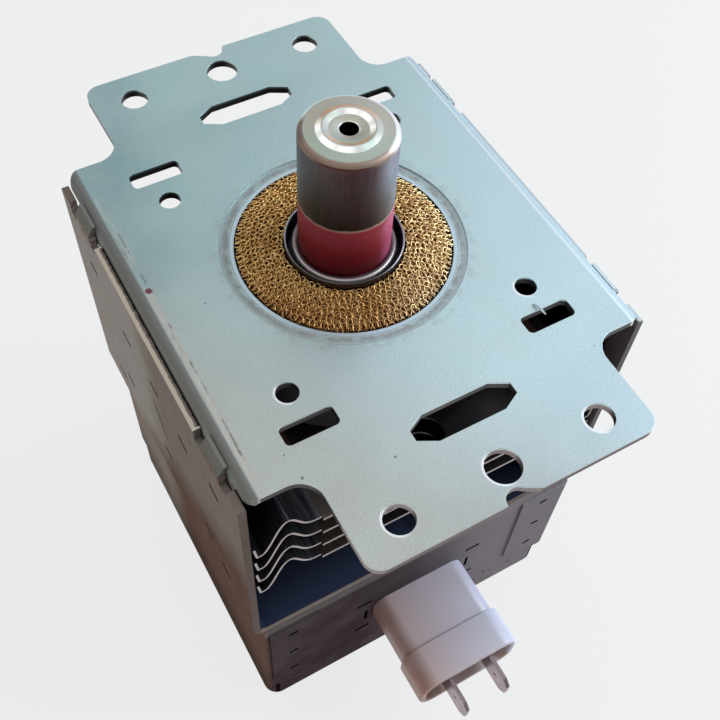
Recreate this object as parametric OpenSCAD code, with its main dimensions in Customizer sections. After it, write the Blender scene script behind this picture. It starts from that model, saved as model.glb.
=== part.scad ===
// Continuous-wave magnetron, air cooled, with its filter box and feed-through capacitor.
// Origin: antenna axis at the top face of the mounting plate. +Z runs out along the antenna,
// -Y faces the terminals, X runs across the two closed yoke walls.

/* [Mounting plate] */
// Thickness of the plate sheet
plate_t = 1.5; // [1.2:0.1:1.8]
// Width over the turned-down sides
body_w = 70.2; // [68:0.2:74]
// Length of the plate between its two tabs
body_l = 71; // [70:0.5:74]
// Width of each tab
tab_w = 50; // [47:0.5:52]
// Distance from the bolt holes to the end of the back tab
tab_margin = 6.4; // [5:0.1:8]
// Distance from the bolt holes to the end of the front tab
front_margin = 5.6; // [5:0.1:8]
// Outer corner radius of the tabs
tab_corner_r = 2.8; // [1:0.1:4]
// Fillet radius at the root of the tabs
tab_fillet_r = 4; // [3:0.5:6]
// Corner radius of the plate in plan
body_corner_r = 2.2; // [1:0.1:3]
// Outside radius of the folded sides
bend_r = 2; // [2:0.1:3]
// Depth of the folded sides
flange_h = 5.5; // [4:0.5:9]
// Length of the folded sides below their bend
flange_len = 60; // [56:0.5:64]
// Bolt pitch across the tabs
bolt_pitch_x = 35; // [32:0.5:37]
// Bolt pitch from tab to tab
bolt_pitch_y = 95; // [92:0.5:97]
// Bolt hole diameter
bolt_hole_d = 4.9; // [4:0.1:5.5]
// Middle hole diameter
mid_hole_d = 5.8; // [5:0.1:6.4]
// Radius of the notch in the end of each tab
notch_r = 2.1; // [1.5:0.1:2.6]
// Length of the two long slots
long_slot_l = 17.9; // [14:0.1:20]
// Width of the two long slots
long_slot_w = 5.2; // [4.6:0.1:5.8]
// Distance of the long slots' middle beyond the plate's edge
long_slot_out = 1.5; // [1:0.1:2.5]
// Length of the four short slots
short_slot_l = 9; // [7:0.1:10]
// Width of the four short slots
short_slot_w = 3.5; // [2.5:0.1:4]
// Spacing of the short slots across the plate
short_slot_pitch_x = 43; // [41:0.5:44]
// Spacing of the short slots along the plate
short_slot_pitch_y = 56.7; // [55:0.1:58]
// Diameter of the four pilot holes
pilot_d = 3.7; // [3:0.1:4.2]
// Spacing of the pilot holes, across and along
pilot_pitch = 43.5; // [42:0.1:45]
// Diameter of the antenna opening
opening_d = 36.6; // [36:0.1:38]
// Width of the coined ring round the opening
coin_w = 2.3; // [1.5:0.1:3]
// Depth of the coined ring
coin_depth = 0.25; // [0.1:0.05:0.4]

/* [Yoke] */
// Thickness of the yoke sheet
yoke_t = 1.3; // [1:0.1:1.6]
// Length of the yoke walls
yoke_l = 70.4; // [70:0.2:74]
// Outside radius of the yoke's lower bends
yoke_bend_r = 2.6; // [2.2:0.1:3.2]
// Drop of the wall's edge below the plate's top face
wall_drop = 2.6; // [1.8:0.1:2.8]
// Distance of each crimped tab from the middle
crimp_y = 25.5; // [24:0.5:27]
// Length of each crimped tab
crimp_l = 6; // [5:0.5:8]
// Width of the relief notch on each side of a crimped tab
relief_w = 2.8; // [2:0.1:3.2]
// Depth of the relief notches below the wall's edge
relief_h = 2.6; // [2:0.1:3.5]
// Length of the lanced slits in the walls
slit_l = 3.2; // [2:0.1:4]
// Width of the lanced slits
slit_w = 0.7; // [0.3:0.1:0.8]
// Diameter of the stem hole in the yoke floor
floor_hole_d = 21; // [20.5:0.1:22]

/* [Magnets] */
// Outer diameter of the ring magnets
magnet_d = 54; // [50:0.5:56]
// Height of each ring magnet
magnet_h = 13.1; // [11:0.1:14]
// Bore of the ring magnets
magnet_bore = 21.6; // [21.4:0.1:24]

/* [Cooling fins] */
// Fin sheet thickness
fin_t = 0.6; // [0.5:0.05:0.8]
// Distance between fins
fin_pitch = 5; // [4.5:0.1:5.5]
// Length of the fins along the air flow
fin_l = 69; // [66:0.5:70]
// Width of the flat middle of each fin
fin_flat_w = 44.4; // [44:0.2:47]
// Rise of the wave above the flat at its crest
fin_crest = 5.8; // [4:0.1:6.4]
// Fall of the wave below the flat beside the wall
fin_trough = 2; // [1.5:0.1:2.6]
// Lift of the wave above the flat where it is slit free
fin_lift = 1.4; // [1.2:0.1:2]
// Length of the slits that free the wave at each end
fin_slit = 9; // [6:0.5:12]
// Height of the collar that grips the anode
fin_collar_h = 2.2; // [1.5:0.1:3]
// Diameter of the two jig holes in each fin
jig_hole_d = 7.2; // [5:0.2:7.6]
// Distance of the jig holes from the axis
jig_hole_y = 29; // [28:0.2:29.6]

/* [Anode and cathode] */
// Outer diameter of the anode shell
anode_d = 40; // [39:0.2:41]
// Wall of the anode shell
anode_wall = 2.4; // [2:0.1:2.8]
// Height of the anode shell
anode_h = 26; // [24:0.2:28]
// Thickness of each vane
vane_t = 1.9; // [1.5:0.1:2.2]
// Height of each vane
vane_h = 9.6; // [8.6:0.1:10]
// Radius to the vane tips
vane_tip_r = 4.6; // [4.3:0.1:5]
// Mean radius of the inner strap ring
strap_in_r = 6.2; // [6:0.1:6.4]
// Mean radius of the outer strap ring
strap_out_r = 7.9; // [7.7:0.1:8.2]
// Section of the strap rings, square
strap_s = 0.9; // [0.7:0.1:1]
// Mean radius of the filament helix
filament_r = 2.1; // [1.8:0.1:2.3]
// Filament wire diameter
filament_wire_d = 0.6; // [0.4:0.1:0.7]
// Diameter of the cathode lead rods
lead_d = 1.5; // [1.2:0.1:1.8]
// Offset of the side lead from the axis
lead_offset = 3.4; // [3.2:0.1:3.8]

/* [Antenna] */
// Height of the cap's top above the plate
cap_top = 25.35; // [24:0.05:28]
// Outer diameter of the cap
cap_d = 15.4; // [15.2:0.1:15.6]
// Cap sheet thickness
cap_t = 0.5; // [0.3:0.05:0.6]
// Rounding of the cap's top edge
cap_round = 1.3; // [0.8:0.1:2]
// Mean radius of the pressed bead in the cap's top
bead_r = 4; // [3.5:0.1:4.6]
// Diameter of the hole in the cap
cap_hole_d = 3; // [2:0.1:3.6]
// Height of the ceramic's top above the plate
ceramic_top = 11.2; // [9:0.1:13]
// Wall of the antenna ceramic
ceramic_wall = 2.4; // [2:0.1:2.8]
// Diameter of the antenna lead
antenna_lead_d = 2.2; // [1.8:0.1:2.6]
// Outer diameter of the gasket cup
cup_d = 20; // [19.8:0.1:20.2]
// Height of the cup's rim above the plate
cup_rim = 0.6; // [0.3:0.05:1]
// Height of the mesh gasket's crown above the plate
gasket_crown = 0.6; // [0.3:0.05:1]

/* [Filter box] */
// Width of the filter box
box_w = 70; // [68:0.2:72]
// Length of the filter box
box_l = 69; // [67:0.5:71]
// Height of the filter box
box_h = 33; // [31:0.5:36]
// Distance of the box's front face from the axis
box_front = 35.9; // [35.5:0.1:36.5]
// Sheet thickness of the filter box and its lid
box_t = 0.8; // [0.6:0.1:1]
// Outside bend radius of the box
box_bend_r = 2; // [1.5:0.1:2.5]
// Depth of the lid below the box's lower edge
lid_drop = 7; // [4:0.5:8]
// Length of the lid's rim inside the box
lid_rim = 5; // [4:0.5:7]
// Corner radius of the lid in plan
lid_corner_r = 3; // [2:0.1:3.5]
// Width of the side flaps lapped over the front and back
flap_w = 10.6; // [9:0.1:11]
// Diameter of the rivets that hold the box to the yoke
rivet_d = 3; // [2.4:0.1:3.4]
// Distance of the rivets from the box's sides
rivet_inset_x = 7; // [6.4:0.1:8]
// Distance of the rivets from the ends of the box's length
rivet_inset_y = 15; // [6:0.5:18]

/* [Feed-through capacitor] */
// Distance of the capacitor's axis below the box's top
plug_drop = 18.7; // [18:0.1:19.4]
// Width of the capacitor's body
plug_w = 21; // [20:0.1:21.6]
// Height of the capacitor's body
plug_h = 9.6; // [9:0.1:10.2]
// Corner radius of the capacitor's section
plug_r = 3.2; // [2:0.1:4]
// Length of the body outside the box
plug_l = 12.4; // [10:0.1:14]
// Length of the collar at the end
collar_l = 8; // [6:0.1:9]
// Step of the collar beyond the body
collar_step = 0.8; // [0.4:0.1:1]
// Depth of the recess in the end face
recess_l = 4.2; // [3:0.1:5]
// Wall round the recess
recess_wall = 1.3; // [1:0.1:1.6]
// Spacing of the two terminal blades
blade_pitch = 9.5; // [9:0.1:10]
// Width of the blades
blade_w = 6.3; // [6:0.1:6.4]
// Thickness of the blades
blade_t = 0.8; // [0.6:0.05:1]
// Length of the blades beyond the collar
blade_l = 6.6; // [5:0.1:8]

/* [Chokes] */
// Distance of the choke axes from the middle
choke_x = 19; // [18:0.2:20]
// Diameter of the ferrite cores
core_d = 6; // [5:0.1:6.4]
// Length of the ferrite cores
core_l = 27; // [25:0.5:29]
// Diameter of the choke wire
choke_wire_d = 1.5; // [1.2:0.1:1.6]
// Pitch of the choke turns
choke_pitch = 2.6; // [2.2:0.1:2.8]

/* [Hidden] */
$fn = 64;
// Clearance between the plate's folded sides and the yoke walls
wall_gap = 0.1;
// Clearance between the fin lips and the yoke walls
fin_gap = 0.5;
// Clearance of a pressed or brazed round fit
fit_gap = 0.05;
// Clearance of a loose sheet fit
sheet_gap = 0.15;
// Gap of a seated round piece
seat_gap = 0.3;
// Extra length of a cutter beyond the face it cuts
past = 1;

// Levels along the axis, measured down from the plate's top face
magnet_top_z = -plate_t;
anode_top_z = magnet_top_z - magnet_h;
anode_mid_z = anode_top_z - anode_h / 2;
anode_bottom_z = anode_top_z - anode_h;
floor_top_z = anode_bottom_z - magnet_h;
floor_bottom_z = floor_top_z - yoke_t;
box_bottom_z = floor_bottom_z - box_h;
base_z = box_bottom_z - lid_drop;
plug_z = floor_bottom_z - plug_drop;

// Plate and yoke
tab_end = bolt_pitch_y / 2 + tab_margin;
front_end = bolt_pitch_y / 2 + front_margin;
bend_end_h = plate_t + 0.6;
notch_x = 0.8;
notch_ramp = 4.2;
wall_in = body_w / 2 + wall_gap;
wall_out = wall_in + yoke_t;
wall_top_z = -wall_drop;
long_slot_cut_x = 3.1;
long_slot_cut_y = 1.6;
short_slot_r = 0.9;
slit_tilt = 15;
slit_depth = 0.8;
// Places of the lanced slits in a wall: distance from the middle, depth below the plate
slit_places = [[25, 13.4], [12, 18.8], [0, 18.4], [24.5, 46], [18.3, 40.6], [0, 40.8]];
// Lean and top of a crimped tab
crimp_lean = 0.4;
crimp_top = 0.75;
crimp_face = 1.7;

// Fins
fin_count = 4;
fin_half = wall_in - fin_gap;
fin_bore_r = anode_d / 2 + fit_gap;
wave_start = fin_flat_w / 2 + seat_gap;
wave_span = fin_half - wave_start;
// Distance of the wave's crest beyond the edge of the magnets, which it rises past
crest_out = 1.4;
// Shares of the wave's span at its crest and its trough
crest_at = (magnet_d / 2 + crest_out - wave_start) / wave_span;
trough_at = 0.89;
lip_h = 3.3;

// Anode, poles and seals
anode_in_r = anode_d / 2 - anode_wall;
end_recess_wall = 1.4;
end_recess_r = anode_d / 2 - end_recess_wall;
end_recess_h = 2.9;
pole_t = 1.5;
seal_t = 0.8;
pole_hole_r = vane_tip_r + 0.4;
pole_flat_r = 8.6;
pole_slope_r = 13.6;
pole_to_vane = 1.6;
vane_count = 10;
strap_step = 0.35;
seal_neck_r = 9.2;
seal_neck_t = 0.9;
filament_turns = 8;
hat_r = 3.7;
hat_t = 1.1;
lead_sides = 12;

// Antenna
ceramic_r = cap_d / 2;
ceramic_neck_r = ceramic_r - 0.35;
ceramic_shoulder_z = 1;
ceramic_in_r = ceramic_r - ceramic_wall;
ceramic_seat_z = -3;
cap_steps = 10;
bead_half = 0.55;
bead_h = 0.35;
tube_r = 4.2;
tube_wall = 0.7;
tube_top_z = cap_top - 4;
roll_r = 0.7;
cup_t = 0.35;
cup_floor_z = -2.6;
gasket_in_r = cup_d / 2 + sheet_gap;
gasket_out_r = opening_d / 2 - sheet_gap;
gasket_rows = 7;
gasket_row_h = 0.25;
gasket_pits = 24;

// Stem and filter box
stem_r = 8;
stem_sink = 2;
stem_drop = 16;
lead_tail = 4.5;
stem_top_z = floor_bottom_z - stem_sink;
stem_bottom_z = floor_bottom_z - stem_drop;
stem_lap = 2.4;
lead_end_z = stem_bottom_z - lead_tail;
box_mid_y = box_l / 2 - box_front;
flap_t = 0.5;
flap_top = 1.6;
flap_bottom = 5.2;
clinch_x = box_w / 2 - 5.8;
clinch_l = 1.9;
clinch_h = 1.1;
clinch_pitch = 10.2;
clinch_lift = 3.3;
rivet_x = box_w / 2 - rivet_inset_x;
rivet_y = box_l / 2 - rivet_inset_y;
rivet_head = 1.5;
rivet_head_h = 0.9;

// Capacitor
plug_inside = 11;
plug_end_y = -box_front - plug_l - collar_l;
tab_x = 13;
tab_z = 6.7;
tab_slot_l = 3.4;
tab_slot_h = 1.1;
side_slit_h = 4.4;
side_slit_out = 1.8;
flange_w = 32;
flange_l = 18.6;
blade_tip = 1.5;
blade_stem_w = 3;
terminal_tail = 4;
terminal_in_y = -box_front + plug_inside + terminal_tail;
dimple_r = 0.75;
dimple_back = 4;

// Chokes
choke_turns = 8;
choke_steps = 16;
choke_r = core_d / 2 + seat_gap + choke_wire_d / 2;
choke_run_in = 3;
choke_start_y = terminal_in_y + choke_run_in;

// Shared shapes

module rounded_rect(w, l, r) {
    square([w, l - 2 * r], center = true);
    square([w - 2 * r, l], center = true);
    for (x = [-1, 1], y = [-1, 1])
        translate([x * (w / 2 - r), y * (l / 2 - r)]) circle(r);
}

// Outline with two rounded lower corners, its lower edge on y = 0
module rounded_foot(w, h, r) {
    translate([-w / 2, r]) square([w, h - r]);
    translate([-w / 2 + r, 0]) square([w - 2 * r, h]);
    for (x = [-1, 1]) translate([x * (w / 2 - r), r]) circle(r);
}

// Solid drawn in the XZ plane and run along Y
module along_y(l) rotate([90, 0, 0]) linear_extrude(l, center = true) children();

// Block with its four lower edges rounded, its foot on z = 0
module tray_block(w, l, h, r) {
    intersection() {
        along_y(l) rounded_foot(w, h, r);
        rotate([0, 0, 90]) along_y(w) rounded_foot(l, h, r);
    }
}

// Ring of rectangular section standing on z
module ring(r_in, r_out, z, h) {
    translate([0, 0, z]) difference() {
        cylinder(r = r_out, h = h);
        translate([0, 0, -past]) cylinder(r = r_in, h = h + 2 * past);
    }
}

// Round wire swept along a list of points, none of its stretches running along the axis given
module wire(points, d, axis, sides = 8) {
    last = len(points) - 1;
    function unit(v) = v / norm(v);
    function heading(i) = unit(points[min(i + 1, last)] - points[max(i - 1, 0)]);
    function across(i) = unit(axis - (axis * heading(i)) * heading(i));
    corners = [
        for (i = [0:last], k = [0:sides - 1])
            points[i] + d / 2 * (cos(360 * k / sides) * across(i)
                + sin(360 * k / sides) * cross(heading(i), across(i)))
    ];
    skin = [
        for (i = [0:last - 1], k = [0:sides - 1])
            [i * sides + k, i * sides + (k + 1) % sides,
             (i + 1) * sides + (k + 1) % sides, (i + 1) * sides + k]
    ];
    ends = [
        [for (k = [sides - 1:-1:0]) k],
        [for (k = [0:sides - 1]) last * sides + k]
    ];
    polyhedron(corners, [for (f = concat(skin, ends)) [for (k = [len(f) - 1:-1:0]) f[k]]]);
}

// Mounting plate

module corner_fillet(r) {
    difference() {
        translate([-past, -past]) square(r + past);
        translate([r, r]) circle(r);
    }
}

module tab_notch(end) {
    translate([notch_x, end]) {
        circle(notch_r);
        polygon([[0, past], [-notch_ramp, past], [-notch_ramp, 0], [-notch_r * 0.74, -notch_r * 0.67]]);
    }
}

module long_slot() {
    l = long_slot_l / 2;
    w = long_slot_w / 2;
    polygon([
        [-l, w - long_slot_cut_y], [-l + long_slot_cut_x, w],
        [l - long_slot_cut_x, w], [l, w - long_slot_cut_y],
        [l, -w + long_slot_cut_y], [l - long_slot_cut_x, -w],
        [-l + long_slot_cut_x, -w], [-l, -w + long_slot_cut_y]
    ]);
}

module plate_outline() {
    difference() {
        union() {
            square([body_w - 2 * bend_r, body_l], center = true);
            translate([0, (tab_end - front_end) / 2])
                rounded_rect(tab_w, tab_end + front_end, tab_corner_r);
            for (x = [0, 1], y = [0, 1])
                mirror([x, 0]) mirror([0, y])
                    translate([tab_w / 2, body_l / 2]) corner_fillet(tab_fillet_r);
        }
        for (turn = [0, 180]) rotate(turn) {
            tab_notch(turn == 0 ? tab_end : front_end);
            translate([0, body_l / 2 + long_slot_out]) long_slot();
            translate([0, bolt_pitch_y / 2]) circle(d = mid_hole_d);
        }
        for (x = [-1, 1], y = [-1, 1]) {
            translate([x * bolt_pitch_x / 2, y * bolt_pitch_y / 2]) circle(d = bolt_hole_d);
            translate([x * pilot_pitch / 2, y * pilot_pitch / 2]) circle(d = pilot_d);
            translate([x * short_slot_pitch_x / 2, y * short_slot_pitch_y / 2])
                rounded_rect(short_slot_l, short_slot_w, short_slot_r);
        }
        circle(d = opening_d);
    }
}

module side_bend() {
    translate([body_w / 2 - bend_r, -bend_r]) difference() {
        intersection() {
            circle(bend_r);
            square(bend_r);
        }
        circle(bend_r - plate_t);
    }
}

module side_skirt() {
    translate([body_w / 2 - plate_t, -flange_h]) square([plate_t, flange_h - bend_r]);
}

module mounting_plate() {
    color("lightblue") difference() {
        union() {
            translate([0, 0, -plate_t]) linear_extrude(plate_t) plate_outline();
            for (x = [0, 1]) mirror([x, 0, 0]) {
                along_y(flange_len) side_bend();
                along_y(body_l) intersection() {
                    side_bend();
                    translate([0, -bend_end_h]) square([body_w, bend_end_h]);
                }
                along_y(flange_len) side_skirt();
            }
        }
        ring(opening_d / 2 - past, opening_d / 2 + coin_w, -coin_depth, coin_depth + past);
        for (x = [0, 1], y = [0, 1]) mirror([x, 0, 0]) mirror([0, y, 0])
            translate([body_w / 2 - body_corner_r, body_l / 2 - body_corner_r, -flange_h - past])
                linear_extrude(flange_h + 2 * past) difference() {
                    square(body_corner_r + past);
                    circle(body_corner_r);
                }
    }
}

// Yoke

module yoke_section() {
    h = wall_top_z - floor_bottom_z;
    difference() {
        translate([0, floor_bottom_z]) rounded_foot(2 * wall_out, h, yoke_bend_r);
        translate([0, floor_top_z]) rounded_foot(2 * wall_in, h, yoke_bend_r - yoke_t);
    }
}

module crimped_tab() {
    foot_z = wall_top_z - relief_h;
    polygon([
        [wall_in, foot_z], [wall_in, -bend_r + wall_gap], [wall_in - crimp_lean, -crimp_top],
        [wall_in - crimp_lean + yoke_t / 2, -crimp_top], [wall_out, -crimp_top - crimp_face],
        [wall_out, foot_z]
    ]);
}

module yoke() {
    relief_l = crimp_l + 2 * relief_w;
    color("dimgray") {
        difference() {
            along_y(yoke_l) yoke_section();
            for (x = [0, 1], y = [-1, 1]) mirror([x, 0, 0])
                translate([wall_in - past, y * crimp_y - relief_l / 2, wall_top_z - relief_h])
                    cube([yoke_t + 2 * past, relief_l, relief_h + past]);
            for (x = [0, 1], y = [0, 1], p = slit_places)
                if (p[0] > 0 || y == 0)
                    mirror([x, 0, 0]) mirror([0, y, 0])
                        translate([wall_out, p[0], -p[1]])
                            rotate([y == 0 ? slit_tilt : -slit_tilt, 0, 0])
                                cube([2 * slit_depth, slit_l, slit_w], center = true);
            translate([0, 0, floor_bottom_z - past]) cylinder(d = floor_hole_d, h = yoke_t + 2 * past);
            for (x = [-1, 1], y = [-1, 1])
                translate([x * rivet_x, y * rivet_y, floor_bottom_z - past])
                    cylinder(d = rivet_d + 2 * fit_gap, h = yoke_t + 2 * past);
        }
        for (x = [0, 1], y = [-1, 1]) mirror([x, 0, 0])
            translate([0, y * crimp_y, 0]) along_y(crimp_l) crimped_tab();
    }
}

// Cooling fins

function fin_z(i) = anode_mid_z + ((fin_count - 1) / 2 - i) * fin_pitch;

// Height of the wave above the flat at a share of its span
function wave_height(s) =
    s < crest_at
        ? fin_lift + (fin_crest - fin_lift) * (1 - cos(180 * pow(s / crest_at, 1.8))) / 2
        : -fin_trough + (fin_crest + fin_trough)
            * (1 + cos(180 * min(1, (s - crest_at) / (trough_at - crest_at)))) / 2;

function wave_line() = concat(
    [for (k = [0:19]) let(s = k / 19 * trough_at) [wave_start + s * wave_span, wave_height(s)]],
    [[fin_half - 1.2 * fin_t, -fin_trough], [fin_half - fin_t / 2, -fin_trough + lip_h]]
);

// Sheet of the given thickness laid along a line of points
module sheet_along(line, t) {
    last = len(line) - 1;
    function normal(i) =
        let(d = line[min(i + 1, last)] - line[max(i - 1, 0)]) [-d[1], d[0]] / norm(d);
    polygon(concat(
        [for (i = [0:last]) line[i] + t / 2 * normal(i)],
        [for (i = [last:-1:0]) line[i] - t / 2 * normal(i)]
    ));
}

module fin(i) {
    ramp_l = fin_l - 2 * fin_slit;
    color("silver") translate([0, 0, fin_z(i)]) {
        difference() {
            union() {
                translate([0, 0, -fin_t / 2]) linear_extrude(fin_t) difference() {
                    square([fin_flat_w, fin_l], center = true);
                    for (y = [-1, 1]) translate([0, y * jig_hole_y]) circle(d = jig_hole_d);
                }
                translate([0, 0, fin_t / 2]) cylinder(r = fin_bore_r + fin_t, h = fin_collar_h);
            }
            translate([0, 0, -past]) cylinder(r = fin_bore_r, h = fin_collar_h + fin_t + 2 * past);
        }
        for (x = [0, 1]) mirror([x, 0, 0]) {
            along_y(fin_l) sheet_along(wave_line(), fin_t);
            along_y(ramp_l) polygon([
                [fin_flat_w / 2 - 2 * fin_t, -fin_t / 2], [fin_flat_w / 2 + fin_t, fin_lift - fin_t / 2],
                [wave_start + fin_t, fin_lift - fin_t / 2], [wave_start + fin_t, fin_lift + fin_t / 2],
                [fin_flat_w / 2 - fin_t, fin_lift + fin_t / 2], [fin_flat_w / 2 - 3 * fin_t, fin_t / 2]
            ]);
        }
    }
}

// Magnets

module magnet(z) {
    color([0.17, 0.17, 0.19]) ring(magnet_bore / 2, magnet_d / 2, z, magnet_h);
}

module upper_magnet() magnet(anode_top_z);

module lower_magnet() magnet(floor_top_z);

// Anode block

module anode_shell() {
    color([0.72, 0.42, 0.25]) difference() {
        ring(anode_in_r, anode_d / 2, anode_bottom_z, anode_h);
        for (z = [anode_bottom_z - past, anode_top_z - end_recess_h])
            translate([0, 0, z]) cylinder(r = end_recess_r, h = end_recess_h + past);
    }
}

// Groove for the two strap rings, deeper under the ring that this vane doesn't touch
module strap_groove(r, deep) {
    h = strap_s + (deep ? strap_step : 0);
    translate([r - strap_s / 2 - strap_step, -vane_t, vane_h / 2 - h])
        cube([strap_s + 2 * strap_step, 2 * vane_t, h + past]);
}

module vane(i) {
    odd = i % 2 == 1;
    color([0.76, 0.46, 0.28]) translate([0, 0, anode_mid_z]) rotate(360 / vane_count * i) difference() {
        intersection() {
            translate([vane_tip_r, -vane_t / 2, -vane_h / 2]) cube([anode_in_r, vane_t, vane_h]);
            translate([0, 0, -vane_h]) cylinder(r = anode_in_r - fit_gap, h = 2 * vane_h);
        }
        strap_groove(strap_in_r, odd);
        strap_groove(strap_out_r, !odd);
        mirror([0, 0, 1]) {
            strap_groove(strap_in_r, !odd);
            strap_groove(strap_out_r, odd);
        }
    }
}

module strap(r, side) {
    z = side > 0 ? anode_mid_z + vane_h / 2 - strap_s : anode_mid_z - vane_h / 2;
    color([0.74, 0.5, 0.34]) ring(r - strap_s / 2, r + strap_s / 2, z, strap_s);
}

// Funnel that carries the field into the tube, drawn for the upper end
module pole_funnel() {
    rim_z = anode_h / 2 - end_recess_h;
    tip_z = vane_h / 2 + pole_to_vane;
    rotate_extrude() polygon([
        [pole_hole_r, tip_z], [pole_flat_r, tip_z], [pole_slope_r, rim_z],
        [end_recess_r - fit_gap, rim_z], [end_recess_r - fit_gap, rim_z + pole_t],
        [pole_slope_r - pole_t / 2, rim_z + pole_t], [pole_flat_r - pole_t / 2, tip_z + pole_t],
        [pole_hole_r, tip_z + pole_t]
    ]);
}

module upper_pole() {
    color("slategray") translate([0, 0, anode_mid_z]) difference() {
        pole_funnel();
        translate([antenna_foot_r, 0, 0]) cylinder(d = antenna_lead_d + 2, h = anode_h);
    }
}

module lower_pole() {
    color("slategray") translate([0, 0, anode_mid_z]) mirror([0, 0, 1]) pole_funnel();
}

// Antenna end of the tube

// Radius at which the antenna lead stands on its vane, clear of the strap's groove
antenna_foot_r = strap_out_r + strap_s / 2 + strap_step + antenna_lead_d / 2;

module output_seal() {
    flange_z = anode_top_z - end_recess_h + pole_t;
    neck_in_r = ceramic_neck_r + fit_gap;
    color("gainsboro") rotate_extrude() {
        polygon([
            [seal_neck_r - seal_neck_t, flange_z], [end_recess_r - fit_gap, flange_z],
            [end_recess_r - fit_gap, flange_z + seal_t], [seal_neck_r, flange_z + seal_t],
            [seal_neck_r, cup_floor_z], [neck_in_r + 2 * roll_r, cup_floor_z + seal_t],
            [neck_in_r + 2 * roll_r, 0], [neck_in_r, 0], [neck_in_r, ceramic_seat_z - fit_gap],
            [seal_neck_r - seal_neck_t - ceramic_wall / 2, ceramic_seat_z - fit_gap],
            [seal_neck_r - seal_neck_t - ceramic_wall / 2, ceramic_seat_z - seal_t],
            [seal_neck_r - seal_neck_t, ceramic_seat_z - 2 * seal_t]
        ]);
        translate([neck_in_r + roll_r, 0]) circle(roll_r);
    }
}

module antenna_ceramic() {
    color([0.5, 0.12, 0.14]) rotate_extrude() polygon([
        [ceramic_in_r, ceramic_seat_z], [ceramic_neck_r, ceramic_seat_z],
        [ceramic_neck_r, ceramic_shoulder_z], [ceramic_r, ceramic_shoulder_z],
        [ceramic_r, ceramic_top], [ceramic_in_r, ceramic_top]
    ]);
}

module antenna_lead() {
    vane_top_z = anode_mid_z + vane_h / 2;
    knee_z = vane_top_z + pole_to_vane + pole_t;
    lean_r = seal_neck_r / 2 - antenna_lead_d / 4;
    lean_rise = 1.1;
    lean_z = knee_z + lean_rise * (antenna_foot_r - lean_r);
    bend_z = ceramic_seat_z - 2;
    top_z = tube_top_z - 5;
    route = [[antenna_foot_r, 0, vane_top_z], [antenna_foot_r, 0, knee_z], [lean_r, 0, lean_z],
             [0, 0, bend_z], [0, 0, top_z]];
    color([0.76, 0.46, 0.28]) wire(route, antenna_lead_d, [0, 1, 0], lead_sides);
}

module exhaust_tube() {
    pinch_h = 4;
    color([0.72, 0.45, 0.3]) {
        ring(tube_r - tube_wall, ceramic_r - cap_t - sheet_gap, ceramic_top, cap_t);
        intersection() {
            difference() {
                translate([0, 0, ceramic_top]) cylinder(r = tube_r, h = tube_top_z - ceramic_top);
                translate([0, 0, ceramic_top - past])
                    cylinder(r = tube_r - tube_wall, h = tube_top_z - ceramic_top - pinch_h + past);
            }
            along_y(4 * tube_r) polygon([
                [-tube_r, ceramic_top], [tube_r, ceramic_top], [tube_r, tube_top_z - pinch_h],
                [tube_wall, tube_top_z], [-tube_wall, tube_top_z], [-tube_r, tube_top_z - pinch_h]
            ]);
        }
    }
}

// Quarter arc from the outside of a cap up onto its top
function cap_arc(r) = [
    for (k = [0:cap_steps])
        [cap_d / 2 - cap_round + r * cos(90 * k / cap_steps), cap_top - cap_round + r * sin(90 * k / cap_steps)]
];

module antenna_cap() {
    inner = cap_arc(cap_round - cap_t);
    color("lightgray") rotate_extrude() polygon(concat(
        [[cap_d / 2, ceramic_top]],
        cap_arc(cap_round),
        [
            [bead_r + bead_half, cap_top], [bead_r + bead_half / 3, cap_top + bead_h],
            [bead_r - bead_half / 3, cap_top + bead_h], [bead_r - bead_half, cap_top],
            [cap_hole_d / 2, cap_top], [cap_hole_d / 2, cap_top - cap_t]
        ],
        [for (k = [cap_steps:-1:0]) inner[k]],
        [[cap_d / 2 - cap_t, ceramic_top]]
    ));
}

// Mesh gasket and its cup

// Top of the mesh at a share of its width: a low crown with one ridge for each knitted row
function gasket_top(s) =
    -coin_depth + (gasket_crown + coin_depth) * pow(sin(180 * s), 0.6)
        - gasket_row_h * abs(cos(180 * gasket_rows * s));

module rf_gasket() {
    steps = 4 * gasket_rows;
    width = gasket_out_r - gasket_in_r;
    color("goldenrod") difference() {
        rotate_extrude() polygon(concat(
            [[gasket_out_r, -plate_t], [gasket_in_r, -plate_t]],
            [for (k = [0:steps]) [gasket_in_r + width * k / steps, gasket_top(k / steps)]]
        ));
        for (row = [1:gasket_rows - 2], k = [0:gasket_pits - 1])
            rotate(360 / gasket_pits * (k + row / 2))
                translate([gasket_in_r + width * row / (gasket_rows - 1), 0, -coin_depth - gasket_row_h])
                    cylinder(d = width / gasket_rows / 2, h = gasket_crown + past);
    }
}

module gasket_cup() {
    color("slategray") rotate_extrude() polygon([
        [seal_neck_r + fit_gap, cup_floor_z - cup_t], [cup_d / 2, cup_floor_z - cup_t],
        [cup_d / 2, cup_rim], [cup_d / 2 - cup_t, cup_rim],
        [cup_d / 2 - cup_t, cup_floor_z], [seal_neck_r + fit_gap, cup_floor_z]
    ]);
}

// Cathode

module filament() {
    span = vane_h - 2 * filament_wire_d;
    steps = 14;
    turns = [
        for (k = [0:filament_turns * steps])
            [filament_r * cos(360 * k / steps), filament_r * sin(360 * k / steps),
             anode_mid_z - span / 2 + span * k / (filament_turns * steps)]
    ];
    color("darkgray") wire(turns, filament_wire_d, [0, 0, 1], 6);
}

module end_hat(z, bore) {
    color("silver") ring(bore, hat_r, z, hat_t);
}

module upper_end_hat() end_hat(anode_mid_z + vane_h / 2, lead_d / 2 + fit_gap);

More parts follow.
